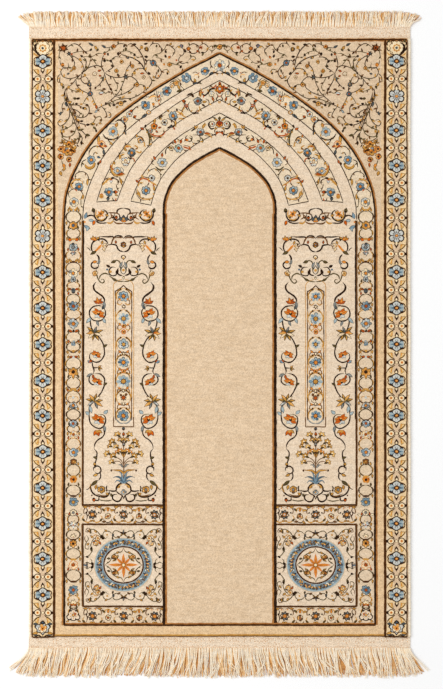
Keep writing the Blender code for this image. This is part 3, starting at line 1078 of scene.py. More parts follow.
def peony(pen, radius):
    """A full pale flower of separate petals, with dark outlines and a rust hood."""
    for turn, share in ((0, 0.9), (58, 0.9), (-58, 0.9), (118, 1.15), (-118, 1.15), (180, 0.9)):
        petal = pen.at(turn=turn)
        patch(petal, "ink", petal_outline(radius * share + 0.8, radius * 0.98), 2)
        patch(petal, "cream", petal_outline(radius * share - 1.0, radius * 0.62), 3)
        patch(petal.at(0, radius * 0.3), "gold", blade(radius * 0.4, 1.4), 4)
    patch(pen, "bark", disc(radius * 0.26), 4)
    patch(pen, "apricot", disc(radius * 0.16), 5)
    for half in both_sides(pen):
        stroke(half, "ink", 1.8, [(0, radius + 2), (radius * 0.5, radius), (radius * 0.6, radius * 0.5)])
        leaf(half.at(radius * 0.7, -radius * 0.9, -120), 6, 2.8, "gold", 0.2, "bark")
    stroke(pen.at(level=3), "rust", 1.8, [(1, 4.5), (4, 3), (4.6, -1)])


BAND_MOTIFS = [
    (blossom, 0, 205, 0, 8.6, "gold", "denim", 6, "bark", "amber"),
    (leaf, -3, 177, 62, 8, 5, "ember"),
    (leaf, 3, 177, -62, 8, 5, "ember"),
    (blossom, 0, 165, 0, 8.4, "mist", "ash", 7, "ink", "slate"),
    (fleur, 0, 156, 180, 7, "pearl", "ash"),
    (leaf, -2, 138, 60, 9, 2.6, "gold", -0.4, "olive"),
    (leaf, 2, 138, -60, 9, 2.6, "gold", 0.4, "olive"),
    (blossom, 0, 117, 0, 8.6, "pearl", "amber", 6, "ash", "ash"),
    (blossom, 0, 106, 0, 5.4, "mist", "slate", 7, "ink", "ash"),
    (leaf, -3, 87, 70, 8, 3.4, "rust"),
    (leaf, 3, 87, -70, 8, 3.4, "rust"),
    (berry, 0, 86, 180, 4.4, "slate"),
    (blossom, 0, 57, 10, 8.8, "sky", "rust", 8, "slate"),
    (blossom, 0, 25, 0, 10.0, "mist", "amber", 8, "slate", "ash"),
    (leaf, -2, 9, 55, 9, 4, "rust"),
    (leaf, 2, 9, -55, 9, 4, "rust"),
    (bud, 0, 14, 180, 5.5, "ink", "ink"),
    (blossom, 0, -11, 0, 4.8, "sky", "mist", 5, "ash"),
    (knot, 0, -28, 0, 8, "gold", "gold"),
    (leaf, 0, -36, 90, 9, 3.4, "rust"),
    (leaf, 0, -36, -90, 9, 3.4, "rust"),
    (dot, 0, -37, 0, 2.4, "pearl", 4),
    (blossom, 0, -63.5, 0, 9.2, "gold", "ink", 6, "bark", "amber"),
    (bud, 0, -70, 180, 7, "gold", "amber"),
    (leaf, 0, -98, 90, 11, 2.8, "gold"),
    (leaf, 0, -98, -90, 11, 2.8, "gold"),
    (knot, 0, -113, 0, 8, "gold", "pearl"),
    (blossom, 0, -125, 0, 7.6, "ash", "amber", 7, "ink", "slate"),
    (blossom, 0, -158, 0, 7.4, "mist", "rust", 6, "slate", "sky"),
    (blossom, 0, -178, 0, 7.0, "pearl", "rust", 6, "gold", "gold"),
    (blossom, 0, -211, 0, 9.0, "mist", "amber", 5, "slate", "sky"),
    (blossom, 0, -228, 0, 6.0, "umber", "gold", 6, "ink", "rust"),
    (blossom, 0, -261, 0, 6.8, "rust", "ink", 5, "gold", "amber"),
    (blossom, 0, -302, 0, 9.0, "sky", "gold", 9, "slate"),
    (blossom, 0, -321, 0, 6.2, "ivory", "ash", 5, "ink", "ash"),
    (leaf, -8, -327, 60, 8, 3.6, "ivory", 0.2, "ink"),
    (leaf, 8, -327, -60, 8, 3.6, "ivory", -0.2, "ink"),
    (fleur, 0, -344, 0, 9, "ivory", "pearl"),
    (knot, 0, -350, 0, 8, "ink", "pearl"),
    (fleur, 0, -366, 0, 7, "ivory", "ivory"),
    (blossom, 0, -378, 0, 7.0, "gold", "ink", 6, "bark", "amber"),
    (blossom, 0, -417, 0, 8.6, "ivory", "rust", 6, "amber", "amber"),
    (blossom, 0, -463, 0, 8.8, "sky", "rust", 8, "slate"),
    (fleur, 0, -488, 0, 8, "ivory", "ivory"),
    (leaf, 0, -491, 80, 7, 3, "rust"),
    (leaf, 0, -491, -80, 7, 3, "rust"),
    (peony, 0, -509, 0, 12.0),
]


def draw_inner_band(pen):
    """The long band of loops, with a flower or a pair of leaves in each."""
    column = pen.at(INNER_BAND_X)
    for number, (y, radius_x, radius_y, yarn, gap) in enumerate(BAND_LOOPS):
        loop = column.at(0, y)
        squash = radius_y / radius_x
        other = "gold" if yarn in ("ink", "bark") or number % 2 else "bark"
        upper_leaf = ("gold", "olive", "rust")[number % 3]
        ring(loop, radius_x, radius_y, yarn, 1.5, gap)
        patch(loop.at(0, -radius_y), other, disc(radius_x * 0.5, squash=0.3), 2.5)
        for half in both_sides(loop):
            ribbon(half, other, arc(0, 0, radius_x + 1.2, 40, -20, 15, squash), 1.5, 3, (0.3, 0.3))
            ribbon(half, "umber", arc(0, 0, radius_x - 1.0, -30, -70, 15, squash), 1.5, 3, (0.3, 0.3))
            leaf(half.at(radius_x * 0.9, -radius_y * 0.6, 200), 6.5, 2.6, "gold", -0.3, "bark")
            leaf(half.at(radius_x * 0.72, radius_y * 0.8, -10), 6, 2.4, upper_leaf, 0.3, "bark")
            dot(half.at(radius_x * 0.42, radius_y * 0.96), 1.1, "bark")
            dot(half.at(radius_x * 0.98, 0), 1.1, "bark")
    draw_motifs(column, BAND_MOTIFS, 0.94)


# Round each rosette of the cross bands, on both sides of it
ROSETTE_VINES = [
    ("umber", 1.3, [(1, 12.5), (6, 14.6), (12, 13.4), (16, 8), (15, 2), (11.4, 3)]),
    ("gold", 1.6, [(3, -12.6), (9, -14.4), (15, -11), (17.6, -5), (14.6, -1.4)]),
]
ROSETTE_MOTIFS = [
    (leaf, 9, 14, -100, 8, 2.8, "gold", 0.2, "bark"),
    (leaf, 13, -12, -60, 7, 2.6, "olive", 0.2, "bark"),
    (leaf, 5, -13, 60, 5.4, 2.4, "gold", 0.2, "umber"),
    (dot, 11.6, 3.4, 0, 1.5, "ink"),
    (dot, 5.4, 11.8, 0, 1.2, "amber"),
]

# Between the rosettes, on both sides of the middle one
BETWEEN_MOTIFS = [
    (blossom, 28.5, -3, 0, 5.2, "apricot", "rust", 6, "bark", "umber"),
    (stroke, 0, 0, 0, "gold", 1.5, [(22, 4), (24, 10), (29, 13), (34, 10), (35.4, 4)]),
    (stroke, 0, 0, 0, "bark", 1.2, [(21, -8), (24, -13), (29, -14.6), (35, -12), (36.4, -7)]),
    (leaf, 24, 7, 70, 8, 3, "gold", 0.2, "bark"),
    (leaf, 33, 7, -70, 8, 3, "olive", 0.2, "bark"),
    (leaf, 25, -12, 110, 7, 2.8, "gold", 0.2, "bark"),
    (leaf, 32, -12, -110, 7, 2.8, "umber", 0.2, "bark"),
    (leaf, 28.5, 5, 0, 7, 3.4, "amber", 0, "bark"),
    (stroke, 0, 0, 0, "bark", 1.3, [(69, 13), (66.4, 8), (68, 2), (66, -4), (68.6, -12)]),
]


def draw_cross_band(pen, y, eyes):
    """The flower band above or below the square: three dark rosettes, with curls and flowers between."""
    row = pen.at(PANEL_AXIS, y)
    for x, eye in zip((-57, 0, 57), eyes):
        rosette(row.at(x, 0), 8.6, eye)
        for half in both_sides(row.at(x, 0)):
            draw_vines(half, ROSETTE_VINES)
            draw_motifs(half, ROSETTE_MOTIFS)
    for half in both_sides(row):
        draw_motifs(half, BETWEEN_MOTIFS)


# ---------------------------------------------------------------- panel


# The half of the panel right of its middle line, drawn on both sides of it
PANEL_VINES = [
    # Lintel
    ("ink", 1.92, [(7, 224), (12, 228), (10, 234), (0, 236.5)]),
    ("ink", 1.92, [(8, 226), (7, 219), (13, 214), (18, 219), (16, 227)]),
    ("umber", 1.92, [(0, 209), (7, 208), (14, 209), (19, 213)]),
    ("umber", 1.81, [(9, 226), (18, 228), (29, 228)]),
    ("ink", 2.03, [(53, 235), (54, 223), (49, 215), (40, 213), (32, 218), (30, 227), (35, 233), (42, 233)]),
    ("gold", 1.58, [(50, 234), (51, 223), (47, 217), (40, 215), (34, 219)]),
    ("gold", 2.49, [(19, 213), (24, 209), (31, 210)]),
    ("ink", 1.92, [(30, 210), (38, 209), (46, 210), (52, 214)]),
    ("umber", 1.69, [(21, 224), (17, 218), (20, 213)]),
    ("umber", 1.58, [(24, 228), (22, 220), (28, 216)]),
    # Top of the frame
    ("ink", 2.03, [(0, 181), (3, 184.5), (9, 186), (14, 185), (17, 182), (20, 184), (32, 184), (44, 184.5)]),
    ("umber", 1.69, [(2, 182), (9, 183), (15, 182)]),
    ("ink", 1.92, [(44, 185), (46, 179), (44, 176)]),
    ("umber", 1.81, [(15, 184), (20, 178), (22, 171), (27, 168)]),
    ("ink", 2.15, [(0, 156.5), (7, 158.5), (11, 163), (13, 168), (20, 170), (28, 169)]),
    ("ink", 2.03, [(28, 169), (31, 176), (38, 180), (48, 179), (56, 174), (59, 166), (57, 158), (52, 154)]),
    ("umber", 1.58, [(28, 169), (35, 163), (40, 161)]),
    ("amber", 2.94, [(55, 154), (47, 162), (40, 170)]),
    # Side of the frame
    ("ink", 2.15, [(49, 152), (45, 146), (45, 138), (49, 134)]),
    ("ink", 2.26, [(49, 137), (57, 137), (59, 131), (54, 126), (47, 128), (46, 133)]),
    ("olive", 1.58, [(50, 126), (49, 115), (45, 104), (39, 99), (35, 102), (37, 106), (41, 105)]),
    ("ink", 2.6, [(50, 101), (55, 94), (53, 86), (46, 80), (39, 75), (35, 68), (36, 60)]),
    # Palmette that ends the column
    ("olive", 1.69, [(3, 117), (5, 126), (6, 137), (12, 141), (18, 138)]),
    ("ink", 2.03, [(2, 113), (9, 115), (12, 121), (9, 127)]),
    ("ink", 1.69, [(10, 118), (16, 113), (24, 114), (27, 121), (22, 128), (14, 128)]),
    ("olive", 1.69, [(0, 102), (10, 103), (18, 107), (27, 113)]),
    ("olive", 1.81, [(26, 114), (34, 117), (42, 113), (44, 106)]),
    # Side vine, from the top ring down
    ("ink", 1.81, [
        (34, 61), (45, 58), (55, 56), (62, 49), (62, 38), (55, 31),
        (44, 30), (36, 36), (33, 46), (37, 54), (46, 58),
    ]),
    ("ink", 1.69, [(60, 36), (61, 27), (59, 18), (54, 9)]),
    ("ink", 1.81, [
        (54, 8), (45, 0), (38, -12), (35, -26), (37, -37),
        (45, -45), (54, -45), (62, -39), (61, -30), (53, -26),
    ]),
    ("ink", 1.69, [(58, -44), (57, -52), (54, -60), (55, -66)]),
    ("ink", 1.47, [(56, -56), (50, -56), (47, -56)]),
    ("ink", 1.81, [(54, -66), (61, -70), (63, -80), (56, -87), (46, -86)]),
    ("ink", 1.81, [(52, -66), (42, -68), (35, -76), (35, -88), (40, -100), (47, -110), (53, -118)]),
    ("slate", 2.15, [(53, -118), (60, -124), (63, -132), (62, -140)]),
    ("ink", 1.81, [
        (62, -134), (63, -146), (60, -158), (50, -166), (40, -166),
        (34, -158), (33, -148), (38, -142), (47, -141),
    ]),
    ("ink", 1.75, [(37, -166), (35, -176), (39, -183), (47, -188), (53, -196), (54, -204)]),
    ("ink", 1.81, [(54, -204), (49, -211), (50, -222), (53, -234), (52, -240)]),
    ("ink", 1.81, [(55, -245), (55, -239), (49, -236), (43, -239), (42, -246), (47, -250), (53, -247)]),
    ("ink", 1.69, [(43, -247), (42, -256), (46, -263)]),
    # Bottom cartouche
    ("ink", 2.15, [(0, -267), (8, -269), (13, -275), (14, -281), (22, -282), (28, -280)]),
    ("ink", 2.15, [(3, -290), (6, -299), (13, -301), (20, -296), (19, -289), (12, -288)]),
    ("ink", 1.81, [(14, -281), (10, -286), (3, -290), (0, -297)]),
    ("ink", 2.03, [
        (28, -280), (26, -286), (31, -292), (40, -293), (52, -289), (59, -282), (60, -272), (53, -268),
    ]),
    ("ink", 1.69, [(45, -292), (46, -299), (55, -299)]),
    ("olive", 1.47, [(21, -298), (32, -300), (45, -298)]),
    ("ink", 1.69, [(30, -281), (32, -276), (30, -272)]),
    ("gold", 1.47, [(2, -270), (9, -272), (12, -277)]),
    ("umber", 1.58, [(27, -284), (31, -290), (40, -290.6), (50, -287)]),
    ("gold", 1.36, [(57, -284), (62, -276), (60, -268)]),
]

PANEL_MOTIFS = [
    # Lintel
    (leaf, 7, 221, 160, 9, 5, "slate"),
    (bud, 14, 223, 170, 7, "rust", "ink"),
    (star_flower, 42, 226, 0, 7.2, "amber", "umber"),
    (leaf, 43, 224, -120, 9, 3.4, "gold", 0.1, "bark"),
    (leaf, 41, 228, 60, 6, 3, "gold", 0.1, "bark"),
    (dot, 47, 220, 0, 1.7, "bark"),
    (leaf, 27, 222, -70, 7, 3, "gold", 0.1, "bark"),
    (leaf, 5, 214, 110, 6, 3, "amber", 0.1, "bark"),
    (bud, 54, 228, -16, 9, "olive", "ink"),
    (leaf, 53, 214, -160, 9, 4.6, "ember"),
    (dot, 20, 219, 0, 1.6, "ink"),
    # Top of the frame
    (leaf, 14, 171, 0, 6, 2.6, "rust"),
    (fleur, 55, 178, 8, 8, "gold", "amber"),
    (leaf, 50, 180, 60, 7, 2.8, "gold", 0.1, "bark"),
    (leaf, 38, 168, 60, 8, 3.6, "straw", 0.1, "bark"),
    (leaf, 38, 167, 110, 8, 3.6, "sand", 0.1, "olive"),
    (leaf, 37, 165, 160, 8, 3.6, "straw", 0.1, "bark"),
    (leaf, 40, 170, 10, 7, 3.2, "gold", 0.1, "bark"),
    (dot, 38, 167, 0, 1.8, "gold", 5),
    (dot, 33, 170, 0, 1.6, "ink"),
    (leaf, 49, 158, -118, 13, 4.4, "olive"),
    (stroke, 0, 0, 0, "ink", 1.0, [(60, 158), (64, 163), (67, 164)]),
    # Side of the frame
    (leaf, 48, 139, -100, 9, 4.4, "amber"),
    (leaf, 44, 143, 185, 10, 3, "ash", 0.1, "slate"),
    (blossom, 52, 117, 0, 4.6, "apricot", "gold", 5, "umber", "gold"),
    # Palmette
    (leaf, 13, 140, -110, 10, 4.2, "olive"),
    (leaf, 7, 127, 20, 12, 3.2, "ash", 0.1, "slate"),
    (leaf, 24, 128, -60, 8, 3.4, "ink"),
    (leaf, 14, 116, 30, 9, 3.8, "ink"),
    (dot, 24, 120, 0, 2.4, "gold"),
    (dot, 30, 124, 0, 1.9, "denim"),
    (leaf, 12, 103.5, -66, 9, 3.4, "olive"),
    # Rust flowers and leaves of the side vine
    (fleur, 46, 62, 0, 11, "amber", "rust"),
    (leaf, 36, 66, 170, 13, 4.0, "ash", 0.1, "slate"),
    (leaf, 35, 60, 205, 10, 3.4, "slate"),
    (leaf, 60, 36, 215, 13, 5.0, "mist", 0.1, "slate"),
    (leaf, 50, 30, 150, 10, 3.6, "ash", 0.1, "slate"),
    (leaf, 38, 35, 150, 10, 4.6, "mist", 0.1, "slate"),
    (spray, 54, 7, 0, (14, 13, "slate"), (-40, 17, "olive"), (-84, 14, "gold"), (-122, 14, "sand"),
     (-160, 13, "olive"), (62, 17, "olive"), (100, 15, "sand"), (140, 15, "olive"), (-62, 10, "ember")),
    (berry, 54, 7, 0, 2.4, "umber", "ink"),
    (leaf, 38, -18, 60, 9, 3.2, "olive"),
    (leaf, 57, -42, -120, 9, 3.8, "rust"),
    (leaf, 59, -47, -60, 8, 3.6, "sky", 0, "slate"),
    (spray, 47, -56, 0, (100, 8, "olive"), (50, 7, "gold"), (140, 7, "olive")),
    (leaf, 58, -66, -130, 11, 4.0, "ash", 0.1, "slate"),
    (leaf, 56, -68, 170, 9, 3.4, "rust"),
    (leaf, 37, -88, 60, 8, 3.4, "olive"),
    (spray, 53, -118, 0, (8, 15, "olive"), (40, 14, "sand"), (-30, 16, "gold"), (-66, 16, "olive"),
     (-112, 14, "ash"), (74, 15, "olive"), (114, 17, "gold"), (150, 14, "slate")),
    (berry, 53, -118, 0, 2.2, "umber", "ink"),
    (leaf, 62, -126, 160, 13, 4.6, "mist", 0.1, "slate"),
    (leaf, 62, -142, -60, 9, 5, "mist", 0.1, "slate"),
    (leaf, 36, -141, 40, 10, 5, "mist", 0.1, "slate"),
    (leaf, 36, -162, 160, 11, 4.0, "ash", 0.1, "slate"),
    (bud, 49, -170, 160, 12, "rust", "gold"),
    (leaf, 50, -170, 200, 11, 4.4, "ember", 0.1, "bark"),
    (leaf, 47, -170, 120, 9, 4.0, "gold", 0.1, "bark"),
    (leaf, 48, -222, -70, 8, 3.4, "olive"),
    (bud, 52, -236, -20, 7, "gold", "ink"),
    (leaf, 47, -251, -110, 9, 4, "gold"),
    (leaf, 47, -262, -128, 17, 5, "olive"),
    (stroke, 0, 0, 0, "ink", 1.0, [(60, -272), (65, -278), (69, -279)]),
    # Bottom cartouche
    (blossom, 41, -279, 0, 6.6, "gold", "ash", 6, "ink", "umber"),
    (leaf, 33, -285, 120, 7, 3.2, "gold", 0.1, "ink"),
    (leaf, 24, -286, 150, 7, 3, "olive", 0.1, "ink"),
    (leaf, 12, -276, 60, 6, 2.6, "gold", 0.1, "bark"),
    (leaf, 50, -270, 190, 9, 4, "gold"),
    (bud, 55, -294, 170, 8, "rust", "ink"),
    (dot, 31, -281, 0, 1.7, "ink"),
    (dot, 58, -290, 0, 1.4, "bark"),
]

# Rust flowers inside the rings of the side vine: x from the middle line, y, radius
RING_FLOWERS = [(46, 43, 11.4), (50, -32, 9.0), (48, -82, 9.6), (46, -151, 12.0)]

# How far the stems of the column's frame run from its middle, from the top to the bottom
COLUMN_OUTER = 18.5
COLUMN_INNER = 14.9

# Flowers of the column: y, radius, petals and eye, how many petals, rim, heart
COLUMN_FLOWERS = [
    (75, 9.6, "sky", "amber", 7, "slate", "denim"),
    (34, 11.4, "mist", "gold", 8, "slate", "sky"),
    (-13, 9.4, "mist", "gold", 6, "slate", "denim"),
    (-46, 10.2, "sky", "amber", 8, "ink", "denim"),
    (-81, 12.6, "mist", "gold", 8, "ash", "sky"),
    (-111, 10.0, "ivory", "rust", 8, "bark", "umber"),
    (-144, 10.4, "sky", "amber", 7, "slate", "denim"),
]

# Blossoms of the tree: x from its stem, y, radius, petals
TREE_FLOWERS = [
    (11, -179, 5.6, "corn"), (21, -192, 6.0, "gold"), (14, -201, 4.8, "corn"), (6, -189, 4.6, "gold"),
    (6, -209, 5.2, "amber"), (30, -214, 5.8, "corn"), (19, -218, 5.6, "gold"), (22, -229, 5.0, "corn"),
    (12, -211, 3.6, "amber"), (26, -200, 3.6, "gold"),
]

# Its branches on the right of the stem
TREE_BRANCHES = [
    [(0, -238), (6, -229), (13, -227), (21, -230)],
    [(0, -234), (6, -224), (17, -219), (29, -215)],
    [(0, -222), (7, -208), (13, -203), (20, -193)],
    [(0, -200), (4, -191), (10, -181)],
]


def draw_lintel_flourish(pen):
    """The blue curls at the outer end of the lintel, and the stem that ties them to it."""
    for y, turn in ((217, -40), (205, -140)):
        leaf(pen.at(-248, y, turn + 10), 12, 5, "sky", 0.2, "slate")
        leaf(pen.at(-240, y - 2, turn - 70), 9, 4.4, "mist", 0.2, "slate")
    stroke(pen, "ink", 1.9, [(-247, 218), (-241, 222), (-234, 223), (-228, 220)])
    dot(pen.at(-247, 211), 1.8, "amber")


def rust_flower(pen, radius):
    """A ragged flower seen from the side: wide warm petals, and two pale ones below them."""
    for turn, share in ((150, 0.8), (200, 0.9)):
        petal = pen.at(turn=turn)
        patch(petal, "ash", teardrop(radius * share, radius * 0.6, 0.2), 2)
        patch(petal, "pearl", teardrop(radius * share - 0.8, radius * 0.42, 0.2), 3)
    warm = (
        (98, 1.05, "ember"), (58, 0.95, "amber"), (16, 0.7, "ember"),
        (-58, 1.05, "ember"), (-94, 1.1, "amber"),
    )
    for turn, share, yarn in warm:
        petal = pen.at(turn=turn)
        patch(petal, "umber", teardrop(radius * share + 0.6, radius * 0.66, 0.4), 4)
        patch(petal, yarn, teardrop(radius * share - 0.2, radius * 0.5, 0.4), 5)
        patch(petal.at(0, radius * 0.3), "rust", blade(radius * share * 0.55, radius * 0.14), 6)
    patch(pen, "ink", disc(radius * 0.24, step=45), 7)
    patch(pen, "apricot", disc(radius * 0.13, radius * 0.1, radius * 0.16, step=45), 8)


def draw_column_frame(half):
    """The stems down one side of the column, with their knots."""
    outer, inner = COLUMN_OUTER, COLUMN_INNER
    ribbon(half, "gold", smooth([(3, 106), (12, 103), (18, 96), (outer, 80)]), 1.1, 2)
    ribbon(half, "gold", straight((outer, 82), (outer, -164)), 1.1, 2)
    ribbon(half, "umber", straight((18.4, -164), (0, -164)), 1.8, 2)
    ribbon(half, "umber", straight((18.4, -146), (18.4, -164)), 1.6, 3)
    ribbon(half, "bark", [(0, 95), (5, 90), (10, 87), (15, 84), (15.4, 76)], 2.0, 2)
    ribbon(half, "umber", straight((inner, 80), (inner, -146)), 1.5, 2)
    for y in (70, 24, -22, -66, -100, -130):
        ribbon(half, "bark", straight((14.8, y), (14.8, y - 22)), 1.7, 3, (0.2, 0.2))
    for y in (48, -8, -48, -92):
        ribbon(half, "gold", straight((14.6, y), (14.6, y - 20)), 1.4, 4, (0.2, 0.2))


def draw_column(pen):
    """The narrow frame down the middle of the panel, and the flowers in it."""
    for half in both_sides(pen):
        draw_column_frame(half)
        for y, length in ((66, 16), (20, 22), (-30, 14), (-62, 16), (-97, 12), (-126, 16)):
            stroke(half, "umber", 1.2, [(1, y), (5, y + 3), (10, y + 1), (11, y - 4), (6, y - length / 2)])
            stroke(half, "gold", 1.3, [(2, y - 3), (8, y - 7), (13, y - 4)])
            leaf(half.at(5, y + 1, -40), 6.5, 3, "amber", 0, "bark")
        for y, radius, *_ in COLUMN_FLOWERS:
            top = y + radius
            stroke(half, "gold", 1.6, [(0, top + 5), (8, top + 2), (13.4, y + 3), (11, y - radius)])
            stroke(half, "bark", 1.0, [(3, top + 3), (9, top), (12, y + 4)])
            dot(half.at(6, top + 3.5), 1.3, "ink")
        stroke(half, "ash", 1.8, [(0, -158), (7, -157), (13, -151), (14, -146)])
    for y in (56, -30, -98, -122):
        star_flower(pen.at(0, y), 5, "bark", "ivory")
    for y in (10, 21, -62):
        blossom(pen.at(0, y), 3.8, "amber", "bark", 5, "rust", "gold")
    patch(pen.at(0, 75), "ivory", lobed(12.5, 6, 0.14), 1)
    for y, radius, petal, eye, count, rim, heart in COLUMN_FLOWERS:
        patch(pen.at(0, y), "linen", lobed(radius + 2.6, count, 0.12, per_lobe=3), 2)
        blossom(pen.at(0, y), radius, petal, eye, count, rim, heart)


def draw_palmette(pen):
    """The pointed palmette that ends the column, and the pale drop that hangs over it."""
    patch(pen.at(0, 151, 180), "bark", teardrop(9.4, 9.4, 0.9), 2)
    patch(pen.at(0, 149.4, 180), "ivory", teardrop(6.4, 5.6, 0.9), 3)
    patch(pen.at(0, 147, 180), "gold", teardrop(3.6, 3.2, 0.9), 4)
    patch(pen.at(0, 115), "slate", teardrop(18, 11.4, 0.8), 2)
    patch(pen.at(0, 116.4), "cream", teardrop(14.2, 7.6, 0.8), 3)
    dot(pen.at(0, 123), 2.6, "gold", 4)
    bud(pen.at(0, 112, 180), 5.5, "ivory", "ink")


def arched_leaf(pen, points, width, yarn, rim):
    """A long leaf that bends over, fine at its tip."""
    path = smooth(points)
    ribbon(pen, rim, path, width + 1.3, 2, (0.1, 0.55))
    ribbon(pen, yarn, path, width, 3, (0.1, 0.6))


def draw_flower_tree(pen):
    """The little tree of gold blossoms that grows from blue leaves."""
    stroke(pen, "umber", 1.4, [(0, -266), (0.3, -230), (-0.3, -200), (0, -174)])
    for half in both_sides(pen):
        for bend in TREE_BRANCHES:
            stroke(half, "umber", 1.0, bend)
        stroke(half, "gold", 1.1, [(0.8, -220), (3, -212), (6, -208)])
        arched_leaf(half, [(0, -250), (6, -244.4), (14, -243.6), (23, -243)], 2.4, "gold", "umber")
        patch(half.at(23, -242, 170), "bark", blade(4.6, 3.2), 4)
        arched_leaf(half, [(1, -239), (5, -233.6), (10, -234)], 2.4, "ash", "slate")
        arched_leaf(half, [(0, -267), (2.5, -256), (5, -249), (9, -246)], 2.8, "sky", "slate")
        arched_leaf(half, [(0, -267), (6, -258), (13, -255.4), (20, -257)], 2.4, "denim", "slate")
        arched_leaf(half, [(0, -268), (8, -263), (13, -263), (16, -267)], 2.2, "sky", "ink")
        for x, y, radius, petals in TREE_FLOWERS:
            for turn, yarn in ((-78, petals), (-26, petals), (34, petals), (84, "gold")):
                petal = half.at(x, y, turn - 2 * x)
                patch(petal, "bark", blade(radius + 1.9, radius * 0.84), 2)
                patch(petal, yarn, blade(radius + 1.2, radius * 0.58), 3)
            leaf(half.at(x, y, 150 - 2 * x), radius + 1.6, 2.4, "olive")
            dot(half.at(x, y), radius * 0.36, "bark", 4)
            dot(half.at(x + 0.4, y + 1.4), radius * 0.24, "ivory", 5)
    for y, yarn in ((-171, "slate"), (-181, "rust"), (-190, "gold"), (-200, "ash"), (-212, "gold")):
        bud(pen.at(0, y), 7, yarn, "bark")


def draw_panel(pen):
    """The panel between the long flower band and the niche, above its square."""
    panel = pen.at(PANEL_AXIS)
    for half in both_sides(panel):
        draw_vines(half, PANEL_VINES)
        draw_motifs(half, PANEL_MOTIFS)
        for x, y, radius in RING_FLOWERS:
            patch(half.at(x, y), "linen", disc(radius + 1.4), 1)
            rust_flower(half.at(x, y, 24), radius)
    draw_lintel_flourish(pen)
    draw_column(panel)
    draw_palmette(panel)
    draw_flower_tree(panel)
    blossom(panel.at(0, 170), 4.8, "umber", "ash", 6, "ink", "rust")
    bud(panel.at(0, 215), 9, "slate", "gold")
    blossom(panel.at(0, -284), 4.2, "mist", "apricot", 4, "slate", "ash")


# ---------------------------------------------------------------- square with its medallion


# The upper right quarter of the square, from its middle, drawn four times
SQUARE_VINES = [
    ("olive", 1.1, [(2, 56), (8, 62), (16, 63), (20, 56), (14, 51), (6, 53), (0, 57)]),
    ("olive", 1.05, [(20, 57), (26, 62), (34, 62), (38, 56), (34, 49), (28, 53)]),
    ("olive", 1.05, [(40, 50), (46, 60), (55, 66), (62, 64), (60, 58), (55, 58)]),
    ("olive", 1.05, [(43, 47), (52, 50), (57, 45), (60, 36), (56, 30)]),
    ("olive", 1.05, [(68, 56), (64, 48), (68, 42), (70, 32), (64, 30), (63, 37)]),
    ("olive", 1.05, [(56, 30), (60, 22), (66, 16), (72, 16)]),
    ("umber", 0.95, [(44, 46), (52, 42), (50, 35), (45, 37)]),
    ("olive", 1.0, [(72, 3), (66, 6), (61, 3), (58, 8), (62, 13)]),
    ("umber", 0.95, [(59, 66), (66, 68), (69, 62), (65, 60)]),
    ("gold", 1.3, [(46, 54), (52, 56), (56, 52)]),
    ("umber", 0.95, [(68, 42), (71, 48), (70, 54)]),
]

SQUARE_MOTIFS = [
    (leaf, 18, 58, 200, 6, 2.6, "slate"),
    (leaf, 21, 52, 160, 5, 2.2, "olive"),
    (leaf, 42, 56, 150, 9, 4.0, "ink"),
    (leaf, 40, 48, 60, 6, 3.0, "ink"),
    (leaf, 56, 44, 100, 8, 3.2, "slate"),
    (leaf, 60, 31, 150, 6, 2.8, "olive"),
    (blossom, 47, 50, 0, 4.4, "straw", "amber", 5, "umber", "gold"),
    (blossom, 50.5, 41.5, 0, 5.0, "corn", "ivory", 5, "umber", "amber"),
    (fleur, 63, 61, 20, 5, "gold", "olive"),
    (leaf, 46, 44, 130, 7, 2.8, "rust", 0.2, "bark"),
    (leaf, 55, 50, -60, 7, 2.8, "gold", 0.2, "bark"),
    (dot, 30, 56, 0, 1.7, "gold"),
    (leaf, 29, 62, -70, 6, 2.4, "gold", 0.2, "bark"),
    (leaf, 12, 53, 110, 6, 2.4, "umber", 0.2, "bark"),
    (leaf, 54, 64, 120, 6, 2.6, "gold", 0.2, "umber"),
    (leaf, 60, 28, 20, 6, 2.8, "ink"),
    (leaf, 59, 6, 150, 7, 3.4, "ink"),
    (leaf, 64, 14, -60, 5, 2.4, "ink"),
    (leaf, 67, 36, 30, 6, 2.6, "gold", 0.2, "bark"),
]

RING_OUTER = (52.0, 47.6)
RING_INNER = (37.4, 34.6)
RING_LEAVES = 46


def oval(radii):
    return arc(0, 0, radii[0], 0, 354, 6.0, radii[1] / radii[0])


def draw_ring_of_leaves(pen, outer, inner):
    """The leaves and dots all round the medallion's ring, in three uneven rows."""
    chance = random.Random(4)
    for row, share in enumerate((0.24, 0.5, 0.74)):
        radii = inner + (outer - inner) * share
        for i in range(RING_LEAVES):
            turn = 360 / RING_LEAVES * (i + 0.5 * (row % 2) + chance.uniform(-0.2, 0.2))
            x, y = radii * (math.cos(math.radians(turn)), math.sin(math.radians(turn)))
            place = pen.at(x, y, turn + chance.choice((15, -30, 50, 80)))
            if row == 1:
                patch(place.at(0, -3.1), "bark", blade(6.2, 3.2), 5)
                yarn = chance.choice(("gold", "gold", "apricot", "ivory", "ash"))
            else:
                yarn = chance.choice(("umber", "gold", "ash", "pearl", "olive", "bark"))
            patch(place.at(0, -2.5), yarn, blade(5.4, 2.5), 6)
            patch(place.at(2.0, 1.4), chance.choice(("bark", "bark", "mist")), disc(0.9, step=60), 6)


def draw_star(pen):
    """An eight-pointed star of narrow split rays."""
    rays = [(turn, 18.4, 4.4) for turn in (45, 135, 225, 315)]
    rays += [(0, 20.5, 5.4), (90, 28, 5.2), (180, 24, 5.4), (270, 27, 5.2)]
    for turn, length, width in rays:
        ray = pen.at(turn=turn)
        patch(ray, "ember", blade(length, width + 0.2), 8)
        patch(ray, "amber", blade(length - 1.0, width - 1.1), 9)
        patch(ray, "umber", blade(length * 0.5, 0.9, 0, 3), 10)
    patch(pen, "ink", disc(3.4), 11)
    patch(pen, "ivory", disc(2.6), 12)


